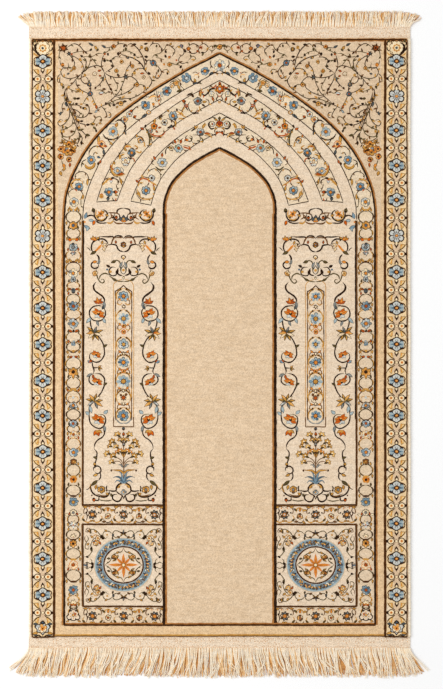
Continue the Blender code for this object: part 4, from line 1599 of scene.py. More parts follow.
def draw_medallion(pen):
    """A blue ring of leaves and dots round an eight-pointed star."""
    outer, inner = np.array(RING_OUTER), np.array(RING_INNER)
    patch(pen, "beige", oval(outer + 2.6), 0.6)
    patch(pen, "mist", oval(outer + 1.2), 1)
    patch(pen, "sky", oval(outer - 1.4), 2)
    patch(pen, "denim", oval(outer - 6.0), 3)
    patch(pen, "sky", oval(inner + 4.6), 4)
    patch(pen, "pearl", oval(inner + 0.8), 5)
    patch(pen, "cream", oval(inner - 2.0), 6)
    ribbon(pen, "bark", oval(inner - 1.2), 2.6, 8, closed=True)
    draw_ring_of_leaves(pen, outer - 1.5, inner + 1.5)
    # The lobed line round the star, with a cluster of small flowers in each of its corners
    quatrefoil = [(0, 31), (4, 24), (12, 22), (20, 17), (24, 8), (32, 1.5), (34, 0)]
    cluster = ((0, 9, "umber"), (62, 8, "olive"), (-62, 8, "olive"), (28, 8, "gold"))
    disc_pen = pen.at(level=6)
    for half in both_sides(disc_pen):
        for quarter, petals in ((half, "gold"), (half.at(turn=180, mirror=True), "umber")):
            stroke(quarter, "olive", 1.2, quatrefoil)
            spray(quarter.at(12.4, 10.4, -48), *cluster)
            blossom(quarter.at(17.6, 14.6), 3.7, petals, "rust", 5, "ink", "umber")
            leaf(quarter.at(24, 12, -100), 6, 2.6, "olive")
            leaf(quarter.at(13, 20, 40), 6, 2.6, "gold", 0.1, "bark")
            dot(quarter.at(29, 4), 1.5, "olive")
    draw_star(pen)


def draw_square(pen):
    """The square below the panel: scrolls in the corners, sprays on three sides, and the medallion."""
    middle = pen.at(PANEL_AXIS, (SQUARE_TOP + SQUARE_END) / 2)
    for half in both_sides(middle):
        for quarter in (half, half.at(turn=180, mirror=True)):
            draw_vines(quarter, SQUARE_VINES)
            draw_motifs(quarter, SQUARE_MOTIFS)
    for turn in (0, 180):
        fan = middle.at(turn=turn).at(0, 58)
        spray(fan, (0, 7, "slate"), (60, 7, "ink"), (-60, 7, "ink"), (115, 6, "olive"), (-115, 6, "olive"))
    spray(middle.at(-66, 0, 90), (0, 8, "denim"), (70, 6, "slate"), (-70, 6, "slate"))
    draw_medallion(middle.at(0, 1))


# ---------------------------------------------------------------- spandrels


# The left half of the field over the arch
SPANDREL_VINES = [
    # Scrolls of the upper corner
    ("ink", 1.2, [(-293, 508), (-291, 499), (-284, 493), (-277, 496), (-278, 503)]),
    ("olive", 1.1, [(-295, 538), (-293, 524), (-296, 509)]),
    ("ink", 1.2, [(-277, 519), (-266, 514), (-255, 506), (-250, 496), (-252, 486)]),
    ("ink", 1.2, [(-277, 519), (-269, 510), (-266, 500), (-271, 494)]),
    ("ink", 1.2, [(-252, 484), (-262, 477), (-275, 474), (-287, 478), (-291, 487), (-286, 494), (-277, 494)]),
    ("ink", 1.3, [(-252, 484), (-245, 491), (-235, 496), (-225, 498), (-216, 494), (-211, 484)]),
    ("ink", 1.2, [(-252, 484), (-246, 496), (-245, 508), (-252, 515)]),
    ("olive", 1.2, [(-252, 484), (-243, 492), (-238, 503), (-236, 514)]),
    ("ink", 1.2, [(-252, 484), (-254, 473), (-249, 466), (-239, 463)]),
    ("ink", 1.2, [(-252, 484), (-262, 474), (-271, 463), (-280, 457), (-285, 446), (-284, 432)]),
    ("olive", 1.1, [(-280, 457), (-268, 452), (-258, 449)]),
    ("ink", 1.2, [(-263, 474), (-262, 462), (-252, 452), (-238, 446)]),
    ("ink", 1.2, [(-238, 446), (-236, 456), (-239, 463), (-242, 474), (-248, 479)]),
    ("olive", 1.2, [(-238, 446), (-246, 436), (-250, 428)]),
    ("olive", 1.2, [(-236, 444), (-230, 432), (-226, 420)]),
    ("ink", 1.2, [(-298, 468), (-296, 478), (-290, 484)]),
    ("ink", 1.2, [(-285, 462), (-293, 468), (-292, 478)]),
    # From one joint to the next along the top
    ("ink", 1.3, [(-211, 484), (-216, 494), (-216, 506), (-212, 519)]),
    ("ink", 1.2, [(-211, 484), (-202, 490), (-195, 496), (-198, 508), (-190, 514), (-178, 512)]),
    ("ink", 1.3, [(-211, 484), (-200, 478), (-188, 476), (-173, 477)]),
    ("ink", 1.2, [(-211, 484), (-214, 472), (-220, 463), (-227, 457)]),
    ("ink", 1.3, [(-211, 484), (-208, 470), (-200, 456), (-192, 441)]),
    ("ink", 1.2, [(-173, 477), (-178, 463), (-184, 450), (-192, 441), (-202, 433), (-208, 428)]),
    ("olive", 1.1, [(-196, 478), (-191, 468), (-187, 460), (-189, 450)]),
    ("ink", 1.3, [(-192, 441), (-178, 438), (-162, 438), (-150, 443), (-138, 452)]),
    ("ink", 1.2, [(-192, 441), (-176, 446), (-162, 454), (-153, 464)]),
    ("ink", 1.2, [(-173, 477), (-171, 489), (-164, 499), (-156, 497)]),
    ("ink", 1.2, [(-173, 477), (-161, 477), (-152, 470), (-147, 462)]),
    ("ink", 1.6, [(-130, 480), (-137, 490), (-145, 502), (-158, 511), (-174, 516), (-185, 521)]),
    ("ink", 1.5, [(-138, 491), (-138, 504), (-143, 518), (-152, 531), (-163, 538), (-171, 533)]),
    ("ink", 1.4, [(-130, 480), (-124, 470), (-130, 458), (-140, 451)]),
    ("ink", 1.2, [(-130, 481), (-140, 492), (-151, 492), (-158, 485), (-153, 478)]),
    ("olive", 1.1, [(-150, 463), (-142, 463), (-136, 457), (-134, 450)]),
    ("ink", 1.2, [(-281, 530), (-268, 538), (-256, 533), (-248, 524), (-237, 525)]),
    ("olive", 1.1, [(-272, 520), (-260, 523), (-248, 524)]),
    ("olive", 1.1, [(-252, 515), (-236, 514), (-223, 520), (-213, 519)]),
    ("olive", 1.1, [(-236, 514), (-230, 506), (-224, 498)]),
    ("ink", 1.1, [(-212, 530), (-203, 531), (-193, 533), (-183, 538), (-170, 537)]),
    ("olive", 1.1, [(-185, 521), (-173, 525), (-160, 521), (-151, 512)]),
    ("olive", 1.1, [(-216, 506), (-205, 508), (-199, 503)]),
    ("olive", 1.1, [(-212, 519), (-205, 524), (-197, 527)]),
    # Right of the great leaf, towards the apex
    ("ink", 1.2, [(-138, 498), (-131, 508), (-122, 505)]),
    ("ink", 1.2, [(-121, 504), (-112, 495), (-107, 485), (-113, 474), (-118, 478), (-112, 486)]),
    ("olive", 1.2, [(-124, 512), (-119, 518), (-109, 521), (-101, 529), (-97, 538)]),
    ("ink", 1.1, [(-129, 531), (-124, 538), (-113, 538), (-107, 530), (-101, 526)]),
    ("ink", 1.2, [(-97, 538), (-88, 532), (-82, 525), (-88, 514)]),
    ("ink", 1.1, [
        (-84, 526), (-76, 534), (-68, 530), (-66, 520), (-74, 513), (-74, 505), (-65, 502), (-57, 508),
    ]),
    ("ink", 1.2, [(-60, 530), (-50, 538), (-38, 533), (-41, 523), (-50, 520), (-63, 524)]),
    ("ink", 1.1, [(-38, 533), (-29, 538), (-21, 532), (-24, 524), (-33, 520)]),
    ("olive", 1.2, [(-21, 530), (-14, 534), (-8, 530), (-14, 525), (-21, 529)]),
    ("olive", 1.2, [(-91, 504), (-84, 501), (-74, 499), (-68, 493)]),
    ("olive", 1.2, [(-105, 489), (-97, 491), (-92, 485)]),
    ("olive", 1.1, [(-57, 508), (-50, 515), (-44, 511), (-49, 505)]),
    ("olive", 1.1, [(-117, 513), (-108, 511), (-101, 508)]),
    # The great fountain of leaves at the side
    ("ink", 1.5, [(-284, 456), (-282, 436), (-273, 414), (-264, 392), (-257, 372)]),
    ("umber", 1.0, [(-281, 452), (-279, 436), (-270, 414), (-262, 394), (-255, 376)]),
    ("ink", 1.2, [(-280, 448), (-277, 436), (-267, 413), (-259, 393), (-252, 378)]),
    ("ink", 1.4, [(-257, 374), (-257, 362), (-262, 352)]),
    ("ink", 1.3, [(-275, 419), (-264, 417), (-256, 411), (-258, 405), (-264, 409)]),
    ("ink", 1.3, [(-271, 409), (-258, 403), (-246, 404), (-239, 412), (-240, 424), (-250, 429)]),
    ("ink", 1.3, [(-267, 400), (-255, 392), (-243, 389)]),
    ("ink", 1.3, [(-261, 384), (-252, 378), (-245, 370)]),
    ("ink", 1.3, [(-258, 376), (-252, 366), (-253, 355)]),
    ("ink", 1.3, [(-279, 428), (-268, 426), (-258, 425), (-249, 420)]),
    ("ink", 1.3, [(-276, 420), (-275, 406), (-281, 394), (-291, 387), (-296, 393), (-291, 399), (-284, 395)]),
    ("olive", 1.3, [(-269, 402), (-270, 390), (-280, 383), (-293, 379)]),
    ("olive", 1.3, [(-263, 386), (-266, 374), (-278, 367), (-288, 370), (-290, 379), (-284, 385)]),
    ("olive", 1.2, [(-257, 368), (-268, 359), (-281, 361), (-291, 368)]),
    ("ink", 1.2, [(-285, 432), (-289, 422), (-287, 413), (-293, 409)]),
    # Between the fountain and the arch
    ("olive", 1.2, [(-243, 389), (-232, 393), (-226, 402), (-218, 404), (-216, 396), (-224, 392)]),
    ("slate", 1.6, [(-229, 411), (-225, 416), (-219, 417)]),
    ("ink", 1.2, [(-225, 418), (-214, 424), (-203, 428), (-190, 427), (-180, 430)]),
    ("olive", 1.2, [(-208, 428), (-196, 432), (-184, 436), (-172, 434)]),
    ("ink", 1.2, [(-217, 424), (-209, 414), (-206, 404), (-212, 402)]),
    ("ink", 1.2, [(-206, 413), (-200, 411), (-199, 404), (-205, 402)]),
    ("olive", 1.2, [(-226, 452), (-218, 453), (-209, 447), (-203, 452)]),
]

SPANDREL_MOTIFS = [
    (star_flower, -286, 530, 0, 11, "bark", "rust"),
    (star_flower, -286, 530, 30, 8, "umber", "ink"),
    (dot, -290, 532, 0, 1.5, "rust", 5),
    (dot, -282, 527, 0, 1.5, "umber", 5),
    (star_flower, -276, 520, 10, 6.0, "ink", "slate"),
    (dot, -271, 519, 0, 2.2, "rust"),
    (berry, -288, 499, 0, 3.6, "amber", "bark"),
    (blossom, -267, 493, 0, 4.0, "gold", "umber", 4, "olive", "amber"),
    (leaf, -269, 491, 130, 9, 2.6, "gold"),
    (leaf, -280, 482, -70, 6, 3, "slate"),
    (dot, -252, 484, 0, 2.2, "ink"),
    (berry, -247, 480, 20, 2.8, "gold", "olive"),
    (leaf, -252, 507, 80, 7, 3, "gold"),
    (leaf, -250, 514, 70, 6, 3.4, "ink"),
    (leaf, -234, 515, 100, 8, 4, "bark"),
    (leaf, -225, 527, 30, 9, 4.6, "gold"),
    (leaf, -222, 529, 140, 7, 3.2, "olive"),
    (leaf, -231, 534, 60, 12, 3.6, "slate"),
    (leaf, -239, 525, -60, 6, 3, "ink"),
    (leaf, -208, 530, 60, 11, 3.6, "slate"),
    (blossom, -194, 533, 0, 3.8, "rust", "ink", 4, "bark", "amber"),
    (berry, -211, 519, 0, 2.4, "rust", "ink"),
    (leaf, -205, 521, 180, 6, 3, "ink"),
    (leaf, -186, 523, 180, 8, 4.4, "ink"),
    (berry, -211, 506, 0, 2.8, "ink", "ink"),
    (leaf, -201, 509, -160, 7, 3, "ink"),
    (blossom, -180, 505, 0, 3.6, "gold", "bark", 4, "olive", "amber"),
    (leaf, -200, 497, -90, 8, 3, "ink"),
    (blossom, -189, 488, 0, 4.2, "gold", "rust", 4, "olive", "amber"),
    (leaf, -187, 484, 190, 8, 2.8, "ink"),
    (leaf, -173, 537, 150, 7, 3, "ink"),
    (berry, -172, 528, 0, 2.8, "olive", "ink"),
    (leaf, -166, 511, 70, 8, 3, "slate"),
    (blossom, -160, 497, 0, 3.8, "gold", "ink", 4, "ink", "amber"),
    (star_flower, -172, 477, 12, 7.4, "ink", "slate"),
    (berry, -156, 517, 0, 2.6, "ink", "olive"),
    (leaf, -160, 536, -80, 8, 3.6, "ink"),
    # The pair of sky flowers and the pale one
    (blossom, -229, 483, 0, 4.6, "ivory", "cream", 5, "umber", "ivory"),
    (leaf, -224, 487, -70, 8, 3.4, "rust"),
    (leaf, -222, 480, -110, 6, 3, "rust"),
    (leaf, -214, 476, 185, 8, 3.4, "slate"),
    (blossom, -238.5, 463, 0, 4.4, "slate", "gold", 6, "ink", "slate"),
    (blossom, -237, 446, 20, 5.6, "denim", "rust", 6, "ink", "slate"),
    (spray, -257, 452, 0, (60, 10, "gold"), (110, 9, "olive"), (10, 7, "gold")),
    (leaf, -291, 467, 200, 9, 4.4, "gold"),
    (leaf, -285, 461, 150, 7, 3.4, "olive"),
    (berry, -277, 458, 0, 2.8, "gold", "olive"),
    (leaf, -226, 459, 150, 6, 3, "bark"),
    (leaf, -208, 454, 80, 7, 2.8, "bark"),
    (leaf, -197, 452, 40, 8, 3.6, "bark"),
    (leaf, -212, 448, 95, 11, 4.2, "pearl"),
    (leaf, -214, 446, 100, 7, 2.6, "rust"),
    (leaf, -209, 431, 190, 6, 3, "ink"),
    # Towards the apex
    (berry, -143, 531, 0, 3.2, "gold", "ink"),
    (blossom, -134, 528, 0, 4.4, "olive", "gold", 5, "ink", "umber"),
    (leaf, -139, 537, -75, 8, 3, "ink"),
    (leaf, -131, 514, 85, 8, 4, "ink"),
    (leaf, -146, 483, -80, 9, 3, "rust"),
    (blossom, -139, 477, 0, 3.4, "sand", "olive", 4, "umber", "gold"),
    (berry, -156, 484, 0, 3.2, "gold", "ink"),
    (blossom, -122, 503, 10, 6.4, "denim", "rust", 7, "ink", "slate"),
    (leaf, -127, 481, 40, 8, 3.4, "ink"),
    (leaf, -116, 531, 0, 6, 2.8, "olive"),
    (leaf, -98, 512, 20, 7, 3.6, "ink"),
    (bud, -94, 511, -40, 7, "rust", "gold"),
    (blossom, -92, 500, 0, 4.6, "gold", "rust", 4, "olive", "rust"),
    (berry, -102, 500, 0, 2.2, "amber", "olive"),
    (dot, -79, 508, 0, 1.9, "rust"),
    (leaf, -92, 535, -40, 7, 3, "gold"),
    (leaf, -100, 526, 200, 6, 3, "ink"),
    (blossom, -70, 534, 0, 3.6, "denim", "rust", 4, "ink"),
    (blossom, -57, 529, 0, 4.0, "rust", "amber", 5, "bark", "rust"),
    (leaf, -63, 522, 10, 7, 4, "ink"),
    (star_flower, -34, 531, 0, 4.6, "rust", "bark"),
    (leaf, -28, 521, 80, 7, 3, "ink"),
    (leaf, -73, 493, -30, 7, 3.2, "ink"),
    (leaf, -96, 481, 0, 6, 3, "ink"),
    (berry, -41, 524, 0, 2.2, "rust", "ink"),
    (dot, -112, 479, 0, 1.9, "amber"),
    (leaf, -112, 492, 170, 8, 2.4, "olive"),
    (leaf, -119, 474, 30, 7, 3, "gold"),
    (blossom, -152, 463, 0, 4.2, "gold", "ink", 4, "ink", "amber"),
    (leaf, -141, 462, -130, 8, 3.2, "ink"),
    (leaf, -168, 446, -60, 8, 2.6, "gold"),
    # Fountain
    (leaf, -262, 437, 80, 7, 4.2, "olive"),
    (leaf, -263, 437, -80, 8, 3.6, "ink"),
    (leaf, -283, 441, 200, 9, 3.6, "gold"),
    (leaf, -278, 429, -70, 9, 4, "gold"),
    (leaf, -283, 432, -160, 12, 3.4, "slate"),
    (leaf, -265, 428, -90, 6, 3, "ink"),
    (leaf, -252, 419, -80, 9, 3.8, "ink"),
    (leaf, -249, 420, -110, 7, 3.0, "gold"),
    (leaf, -256, 396, -90, 7, 3.4, "ink"),
    (leaf, -245, 389, -84, 8, 4.0, "ink"),
    (leaf, -237, 390, -84, 11, 5.0, "gold"),
    (leaf, -232, 386, -130, 9, 3.6, "olive"),
    (leaf, -227, 381, -160, 6, 3, "ink"),
    (leaf, -246, 371, -100, 10, 4.4, "olive"),
    (leaf, -253, 360, 180, 9, 4, "ink"),
    (star_flower, -271, 377, 0, 4.2, "umber", "bark"),
    (berry, -286, 377, 0, 2.8, "gold", "umber"),
    (leaf, -277, 384, 100, 6, 3, "olive"),
    (leaf, -290, 414, 160, 9, 3.6, "slate"),
    (leaf, -240, 424, 60, 6, 3.0, "ink"),
    (leaf, -257, 366, 170, 8, 2.6, "umber"),
    # Between the fountain and the arch
    (bud, -232, 426, -70, 7, "gold", "amber"),
    (leaf, -225, 418, 10, 9, 4, "rust"),
    (leaf, -228, 411, -40, 8, 2.8, "mist"),
    (leaf, -222, 392, -90, 6, 3, "gold"),
    (blossom, -181, 428, 0, 5.0, "gold", "olive", 5, "ink", "amber"),
    (leaf, -178, 431, -80, 9, 3, "ink"),
    (leaf, -191, 425, 90, 6, 3, "ink"),
    (leaf, -186, 424, 140, 6, 3, "gold"),
]


# In and round the large rust flower, from its middle
CLUSTER_MOTIFS = [
    (dot, 0, 8, 0, 1.9, "ink", 8),
    (dot, 9, -5, 0, 1.9, "ink", 8),
    (dot, -7, -4, 0, 1.4, "slate", 8),
    (dot, 1, 0, 0, 1.4, "ivory", 8),
    (dot, -8, 6, 0, 1.4, "ivory", 8),
    (dot, 9, 5, 0, 1.4, "ivory", 8),
    (blossom, -14.5, -1, 20, 5.0, "amber", "ink", 5, "umber", "rust"),
    (blossom, -15, -15, 20, 5.2, "gold", "ink", 5, "umber", "rust"),
    (blossom, 0, -20, 20, 4.8, "gold", "ink", 5, "umber", "rust"),
    (spray, 8, 11, -40, (0, 8, "umber"), (60, 7, "gold"), (-55, 7, "olive")),
    (spray, -10, 10, 30, (0, 8, "olive"), (50, 7, "umber"), (-45, 7, "gold")),
    (leaf, -11, -27, 200, 9, 4.4, "amber", 0.1, "bark"),
    (leaf, -7, -33, 160, 9, 3.8, "gold", -0.1, "bark"),
    (leaf, -16, -41, 190, 9, 4.6, "gold", 0.1, "bark"),
    (leaf, 2, -26, 170, 8, 3.2, "rust", 0.1, "bark"),
    (stroke, 0, 0, 0, "olive", 1.2, [(-14, -20), (-12, -28), (-8, -34), (-15, -42)]),
]


def draw_rosette_cluster(pen):
    """The large rust flower low in the spandrel, with small ones below and beside it."""
    for i in range(9):
        petal = pen.at(turn=40 * i)
        patch(petal, "umber", petal_outline(14.6, 8.6), 2)
        patch(petal, ("amber", "gold", "cinnamon")[i % 3], petal_outline(13.6, 6.4), 3)
        patch(petal.at(0, 7.8), ("bark", "umber", "apricot")[i % 3], disc(1.8, step=60), 4)
    for i, yarn in enumerate(("gold", "ash", "amber", "bark", "cinnamon")):
        petal = pen.at(turn=72 * i + 20)
        patch(petal, "bark", petal_outline(7.6, 5.6), 5)
        patch(petal, yarn, petal_outline(6.6, 4.0), 6)
    draw_motifs(pen, CLUSTER_MOTIFS)


def draw_spandrels():
    """The scrolls, flowers and fountain of leaves over the arch, on both sides of its apex."""
    yarns = ("umber", "gold", "olive", "bark", "umber", "olive")
    for pen in both_sides():
        draw_scrolls(
            pen, SPANDREL_VINES, SPANDREL_MOTIFS, weight=0.89, size=0.86, spacing=14.0, yarns=yarns, length=6.2
        )
        draw_rosette_cluster(pen.at(-276, 346))
    apex = Pen().at(0, 532)
    blossom(apex, 5.0, "gold", "rust", 6, "ink", "amber")
    for half in both_sides(apex):
        leaf(half.at(4, 1, -70), 7, 3, "olive")


# ---------------------------------------------------------------- materials


def linear(red, green, blue):
    """Linear colour of a yarn given as it is seen, 0 to 255."""
    seen = np.array([red, green, blue]) / 255.0
    return tuple(np.where(seen <= 0.04045, seen / 12.92, ((seen + 0.055) / 1.055) ** 2.4) / LIGHT_LEVEL)


# Each yarn, and the paler or darker one that it turns to in places, as seen, 0 to 255
YARN_COLOURS = {
    "ink": ((34, 19, 8), (60, 38, 22)),
    "bark": ((82, 46, 18), (58, 32, 12)),
    "umber": ((122, 82, 44), (94, 62, 34)),
    "cinnamon": ((160, 100, 48), (184, 128, 70)),
    "olive": ((98, 82, 46), (74, 62, 34)),
    "slate": ((62, 68, 72), (92, 96, 92)),
    "ash": ((148, 148, 142), (116, 116, 110)),
    "pearl": ((214, 212, 202), (188, 190, 184)),
    "mist": ((176, 186, 184), (150, 166, 168)),
    "denim": ((88, 110, 124), (70, 90, 104)),
    "sky": ((128, 150, 160), (108, 132, 146)),
    "sage": ((150, 160, 128), (128, 138, 108)),
    "crimson": ((170, 56, 30), (140, 44, 24)),
    "rust": ((188, 92, 34), (160, 70, 26)),
    "ember": ((214, 106, 26), (190, 84, 20)),
    "amber": ((226, 144, 58), (206, 122, 46)),
    "apricot": ((240, 184, 110), (226, 160, 84)),
    "gold": ((208, 156, 78), (184, 128, 54)),
    "corn": ((230, 186, 112), (212, 160, 82)),
    "ivory": ((246, 226, 188), (238, 212, 168)),
    "beige": ((222, 194, 160), (214, 182, 146)),
    "sand": ((229, 202, 169), (217, 188, 153)),
    "dune": ((225, 199, 167), (215, 186, 152)),
    "wheat": ((230, 198, 156), (222, 186, 142)),
    "flax": ((229, 206, 176), (220, 194, 161)),
    "cream": ((234, 213, 187), (226, 201, 171)),
    "linen": ((233, 213, 184), (226, 202, 168)),
    "straw": ((240, 212, 168), (230, 196, 146)),
    "tape": ((241, 221, 196), (233, 209, 180)),
    "wool": ((250, 236, 212), (242, 222, 192)),
    "pale": ((254, 242, 222), (250, 230, 198)),
    # Honey is the stitches' own colour and the painted shade under the fringe's locks; cord is the fringe yarn
    # half in painted shade.
    "half_shaded_cord": ((250, 216, 168), (236, 190, 130)),
    "honey_and_painted_shade": ((228, 171, 102), (204, 140, 74)),
}

# Maps for baking: how wide they are in metres, and the places of the top and the underside in them
PILE_MAP = (1.47, (0.25, 0.5), (0.75, 0.5))
END_MAP = (0.82, (0.5, 0.25), (0.5, 0.75))
MAP_LEAN = 1.2
FACES_DOWN = -0.2  # a face whose normal is lower than this belongs to the underside
WOUND_STRETCHES = 12

# How much the shade of a trim's tufts or turns varies
TRIM_GRAINS = {"wheat": 0.26, "tape": 0.3, "wool": 0.2, "pale": 0.08, "half_shaded_cord": 0.1, "honey_and_painted_shade": 0.12}

# Textures of a yarn: scale, detail, and how much finer they are along X, Y and Z
DYE_DRIFT = (60, 4, (1.0, 3.0, 1.0))
TUFTS = (560, 2, (1.0, 1.0, 1.0))
STREAKS = (28, 5, (1.0, 10.0, 1.0))
PILE_GRAIN = 0.22
STREAK_GRAIN = 0.05
TUFT_BUMP = (0.5, 0.0006)  # strength, and depth in metres


class Paint:
    """The nodes of one material, added and linked in short steps."""

    def __init__(self, name):
        self.material = bpy.data.materials.new(name)
        self.material.use_nodes = True
        tree = self.material.node_tree
        self.nodes, self.links = tree.nodes, tree.links
        self.place = self.nodes.new("ShaderNodeTexCoord")

    def noise(self, scale, detail, stretch):
        mapping = self.nodes.new("ShaderNodeMapping")
        mapping.inputs["Scale"].default_value = stretch
        self.links.new(self.place.outputs["Object"], mapping.inputs["Vector"])
        texture = self.nodes.new("ShaderNodeTexNoise")
        texture.inputs["Scale"].default_value = scale
        texture.inputs["Detail"].default_value = detail
        self.links.new(mapping.outputs["Vector"], texture.inputs["Vector"])
        return texture.outputs["Fac"]

    def ranged(self, value, low, high, to_low, to_high):
        spread = self.nodes.new("ShaderNodeMapRange")
        for socket, number in zip(spread.inputs[1:5], (low, high, to_low, to_high)):
            socket.default_value = number
        self.links.new(value, spread.inputs["Value"])
        return spread.outputs["Result"]

    def around_one(self, value, grain):
        """The middle part of a noise as a factor that strays from 1 by grain."""
        return self.ranged(value, 0.3, 0.7, 1.0 - grain, 1.0 + grain)

    def times(self, a, b):
        product = self.nodes.new("ShaderNodeMath")
        product.operation = "MULTIPLY"
        self.links.new(a, product.inputs[0])
        self.links.new(b, product.inputs[1])
        return product.outputs["Value"]

    def mixed(self, factor, first, second):
        mix = self.nodes.new("ShaderNodeMix")
        mix.data_type = "RGBA"
        mix.inputs["A"].default_value = (*first, 1)
        mix.inputs["B"].default_value = (*second, 1)
        self.links.new(factor, mix.inputs["Factor"])
        return mix.outputs["Result"]

    def shaded(self, colour, shade):
        scale = self.nodes.new("ShaderNodeVectorMath")
        scale.operation = "SCALE"
        self.links.new(colour, scale.inputs[0])
        self.links.new(shade, scale.inputs["Scale"])
        return scale.outputs["Vector"]

    def bump(self, height, strength, depth):
        bump = self.nodes.new("ShaderNodeBump")
        bump.inputs["Strength"].default_value = strength
        bump.inputs["Distance"].default_value = depth
        self.links.new(height, bump.inputs["Height"])
        return bump.outputs["Normal"]


def yarn_material(name, colour, turns_to, grain=PILE_GRAIN):
    """Yarn with tufts of uneven shade, streaks along the wefts and a slow drift of the dye."""
    paint = Paint(name)
    shader = paint.nodes["Principled BSDF"]
    shader.inputs["Roughness"].default_value = 0.95
    shader.inputs["Specular IOR Level"].default_value = 0.06
    drift = paint.ranged(paint.noise(*DYE_DRIFT), 0.32, 0.7, 0, 1)
    dye = paint.mixed(drift, linear(*colour), linear(*turns_to))
    tufts = paint.around_one(paint.noise(*TUFTS), grain)
    streaks = paint.around_one(paint.noise(*STREAKS), STREAK_GRAIN)
    paint.links.new(paint.shaded(dye, paint.times(tufts, streaks)), shader.inputs["Base Color"])
    paint.links.new(paint.bump(tufts, *TUFT_BUMP), shader.inputs["Normal"])
    return paint.material


# ---------------------------------------------------------------- pieces


def mesh_piece(name, corners, faces, material):
    mesh = bpy.data.meshes.new(name)
    mesh.from_pydata(corners, [], faces)
    mesh.materials.append(material)
    obj = bpy.data.objects.new(name, mesh)
    bpy.context.scene.collection.objects.link(obj)
    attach(obj, "root")
    return obj


def grid_faces(rows, columns, around=False):
    """The quads between so many rows of so many points. around joins each row's last point to its first."""
    faces = []
    for r in range(rows - 1):
        for c in range(columns if around else columns - 1):
            d = (c + 1) % columns
            faces.append((r * columns + c, r * columns + d, (r + 1) * columns + d, (r + 1) * columns + c))
    return faces


def swept(rows):
    """Corners and faces of rings of points, one after another, closed at both ends."""
    rows = np.asarray(rows, float)
    count, around = rows.shape[:2]
    faces = grid_faces(count, around, around=True)
    faces += [tuple(reversed(range(around))), tuple(range((count - 1) * around, count * around))]
    return rows.reshape(-1, 3), faces


def make_cloth(material):
    """The pile cloth: one slab, shorn to a slope at its ends, with a rebate below each for the tape."""
    low, high = (np.array(corner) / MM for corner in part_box("pile_cloth"))
    half = [(high[1] - inwards, z) for inwards, z in CLOTH_END]
    section = np.array(half + [(-y, z) for y, z in reversed(half)])
    rows = []
    for x in np.linspace(low[0], high[0], CLOTH_COLUMNS):
        pulled = settle(np.column_stack([np.full(len(section), x), section[:, 0]]))
        rows.append(np.column_stack([pulled, section[:, 1]]))
    corners, faces = swept(rows)
    cloth = mesh_piece("pile_ground", corners * MM, faces, material)
    plan_map(cloth, *PILE_MAP)
    return cloth


def make_overcast(name, side, material):
    """Yarn whipped round one long edge: a round strip with a ridge for each turn of the yarn."""
    low, high = (np.array(corner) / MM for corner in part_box(name))
    centre_x = (low[0] + high[0]) / 2
    radius_x = (high[0] - low[0]) / 2 + OVERCAST_SWELL_X
    radius_z = high[2] / 2 + OVERCAST_SWELL_Z
    around = np.linspace(0, 2 * math.pi, OVERCAST_SIDES, endpoint=False)
    rows = []
    for y in np.arange(low[1], high[1], OVERCAST_STEP):
        ridge = 1 + TURN_RIDGE * np.sin(2 * math.pi * y / TURN_PITCH + 0.9 * side * around)
        loose = 1 + 0.03 * math.sin(y / 5.3) + 0.02 * math.sin(y / 1.9)
        x = centre_x + radius_x * ridge * loose * np.cos(around)
        z = high[2] / 2 + radius_z * ridge * np.sin(around)
        pulled = settle(np.column_stack([x, np.full(len(x), y)]))
        rows.append(np.column_stack([pulled, np.maximum(z, 0.0)]))
    corners, faces = swept(rows)
    edge = mesh_piece(name + "_yarn", corners * MM, faces, material)
    wound_map(edge, len(rows), len(around))
    return edge


def slab(top):
    """Corners and faces of a sheet of rows of points, with upright sides down to a flat underside."""
    count, across = top.shape[:2]
    size = count * across
    points = np.arange(size).reshape(count, across)
    rim = [*points[0], *points[1:, -1], *points[-1, -2::-1], *points[-2:0:-1, 0]]
    rim = [int(i) for i in rim]
    corners = top.reshape(-1, 3)
    corners = np.concatenate([corners, corners[rim] * (1, 1, 0)])
    faces = grid_faces(count, across)
    n = len(rim)
    faces += [(rim[k], size + k, size + (k + 1) % n, rim[(k + 1) % n]) for k in range(n)]
    faces.append(tuple(size + k for k in reversed(range(n))))
    return corners, faces


def make_tape(name, side, material):
    """The flat woven tape at one end: ribs along the rug, crossed by the picks that hold them."""
    inner, outer = PILE_END - TAPE_LAP + 0.4, PILE_END + TAPE_SHOWN
    columns = np.arange(-RUG_HALF, RUG_HALF + 0.01, TAPE_COLUMN)
    rows = []
    for y in np.arange(inner, outer + 0.01, TAPE_ROW):
        # Under the cloth the tape is narrower, and keeps clear of the rebate's ceiling.
        inset = TAPE_INSET if y < PILE_END + 0.3 else 0.0
        x = np.clip(columns, -RUG_HALF + inset, RUG_HALF - inset)
        rib = np.sin(2 * math.pi * x / RIB_PITCH + 0.8 * np.sin(y / 2.0 + x / 40))
        pick = np.sin(2 * math.pi * y / PICK_PITCH + np.floor(x / RIB_PITCH) * math.pi)
        z = TAPE_MIDDLE + RIB_HEIGHT * rib + PICK_HEIGHT * rib * pick
        if y < PILE_END:
            z = np.minimum(z, TAPE_TOP - 0.05)
        pulled = settle(np.column_stack([x, np.full(len(x), side * y)]))
        rows.append(np.column_stack([pulled, z]))
    corners, faces = slab(np.array(rows))
    if side < 0:
        faces = [face[::-1] for face in faces]
    tape = mesh_piece(name, corners * MM, faces, material)
    plan_map(tape, *END_MAP)
    return tape


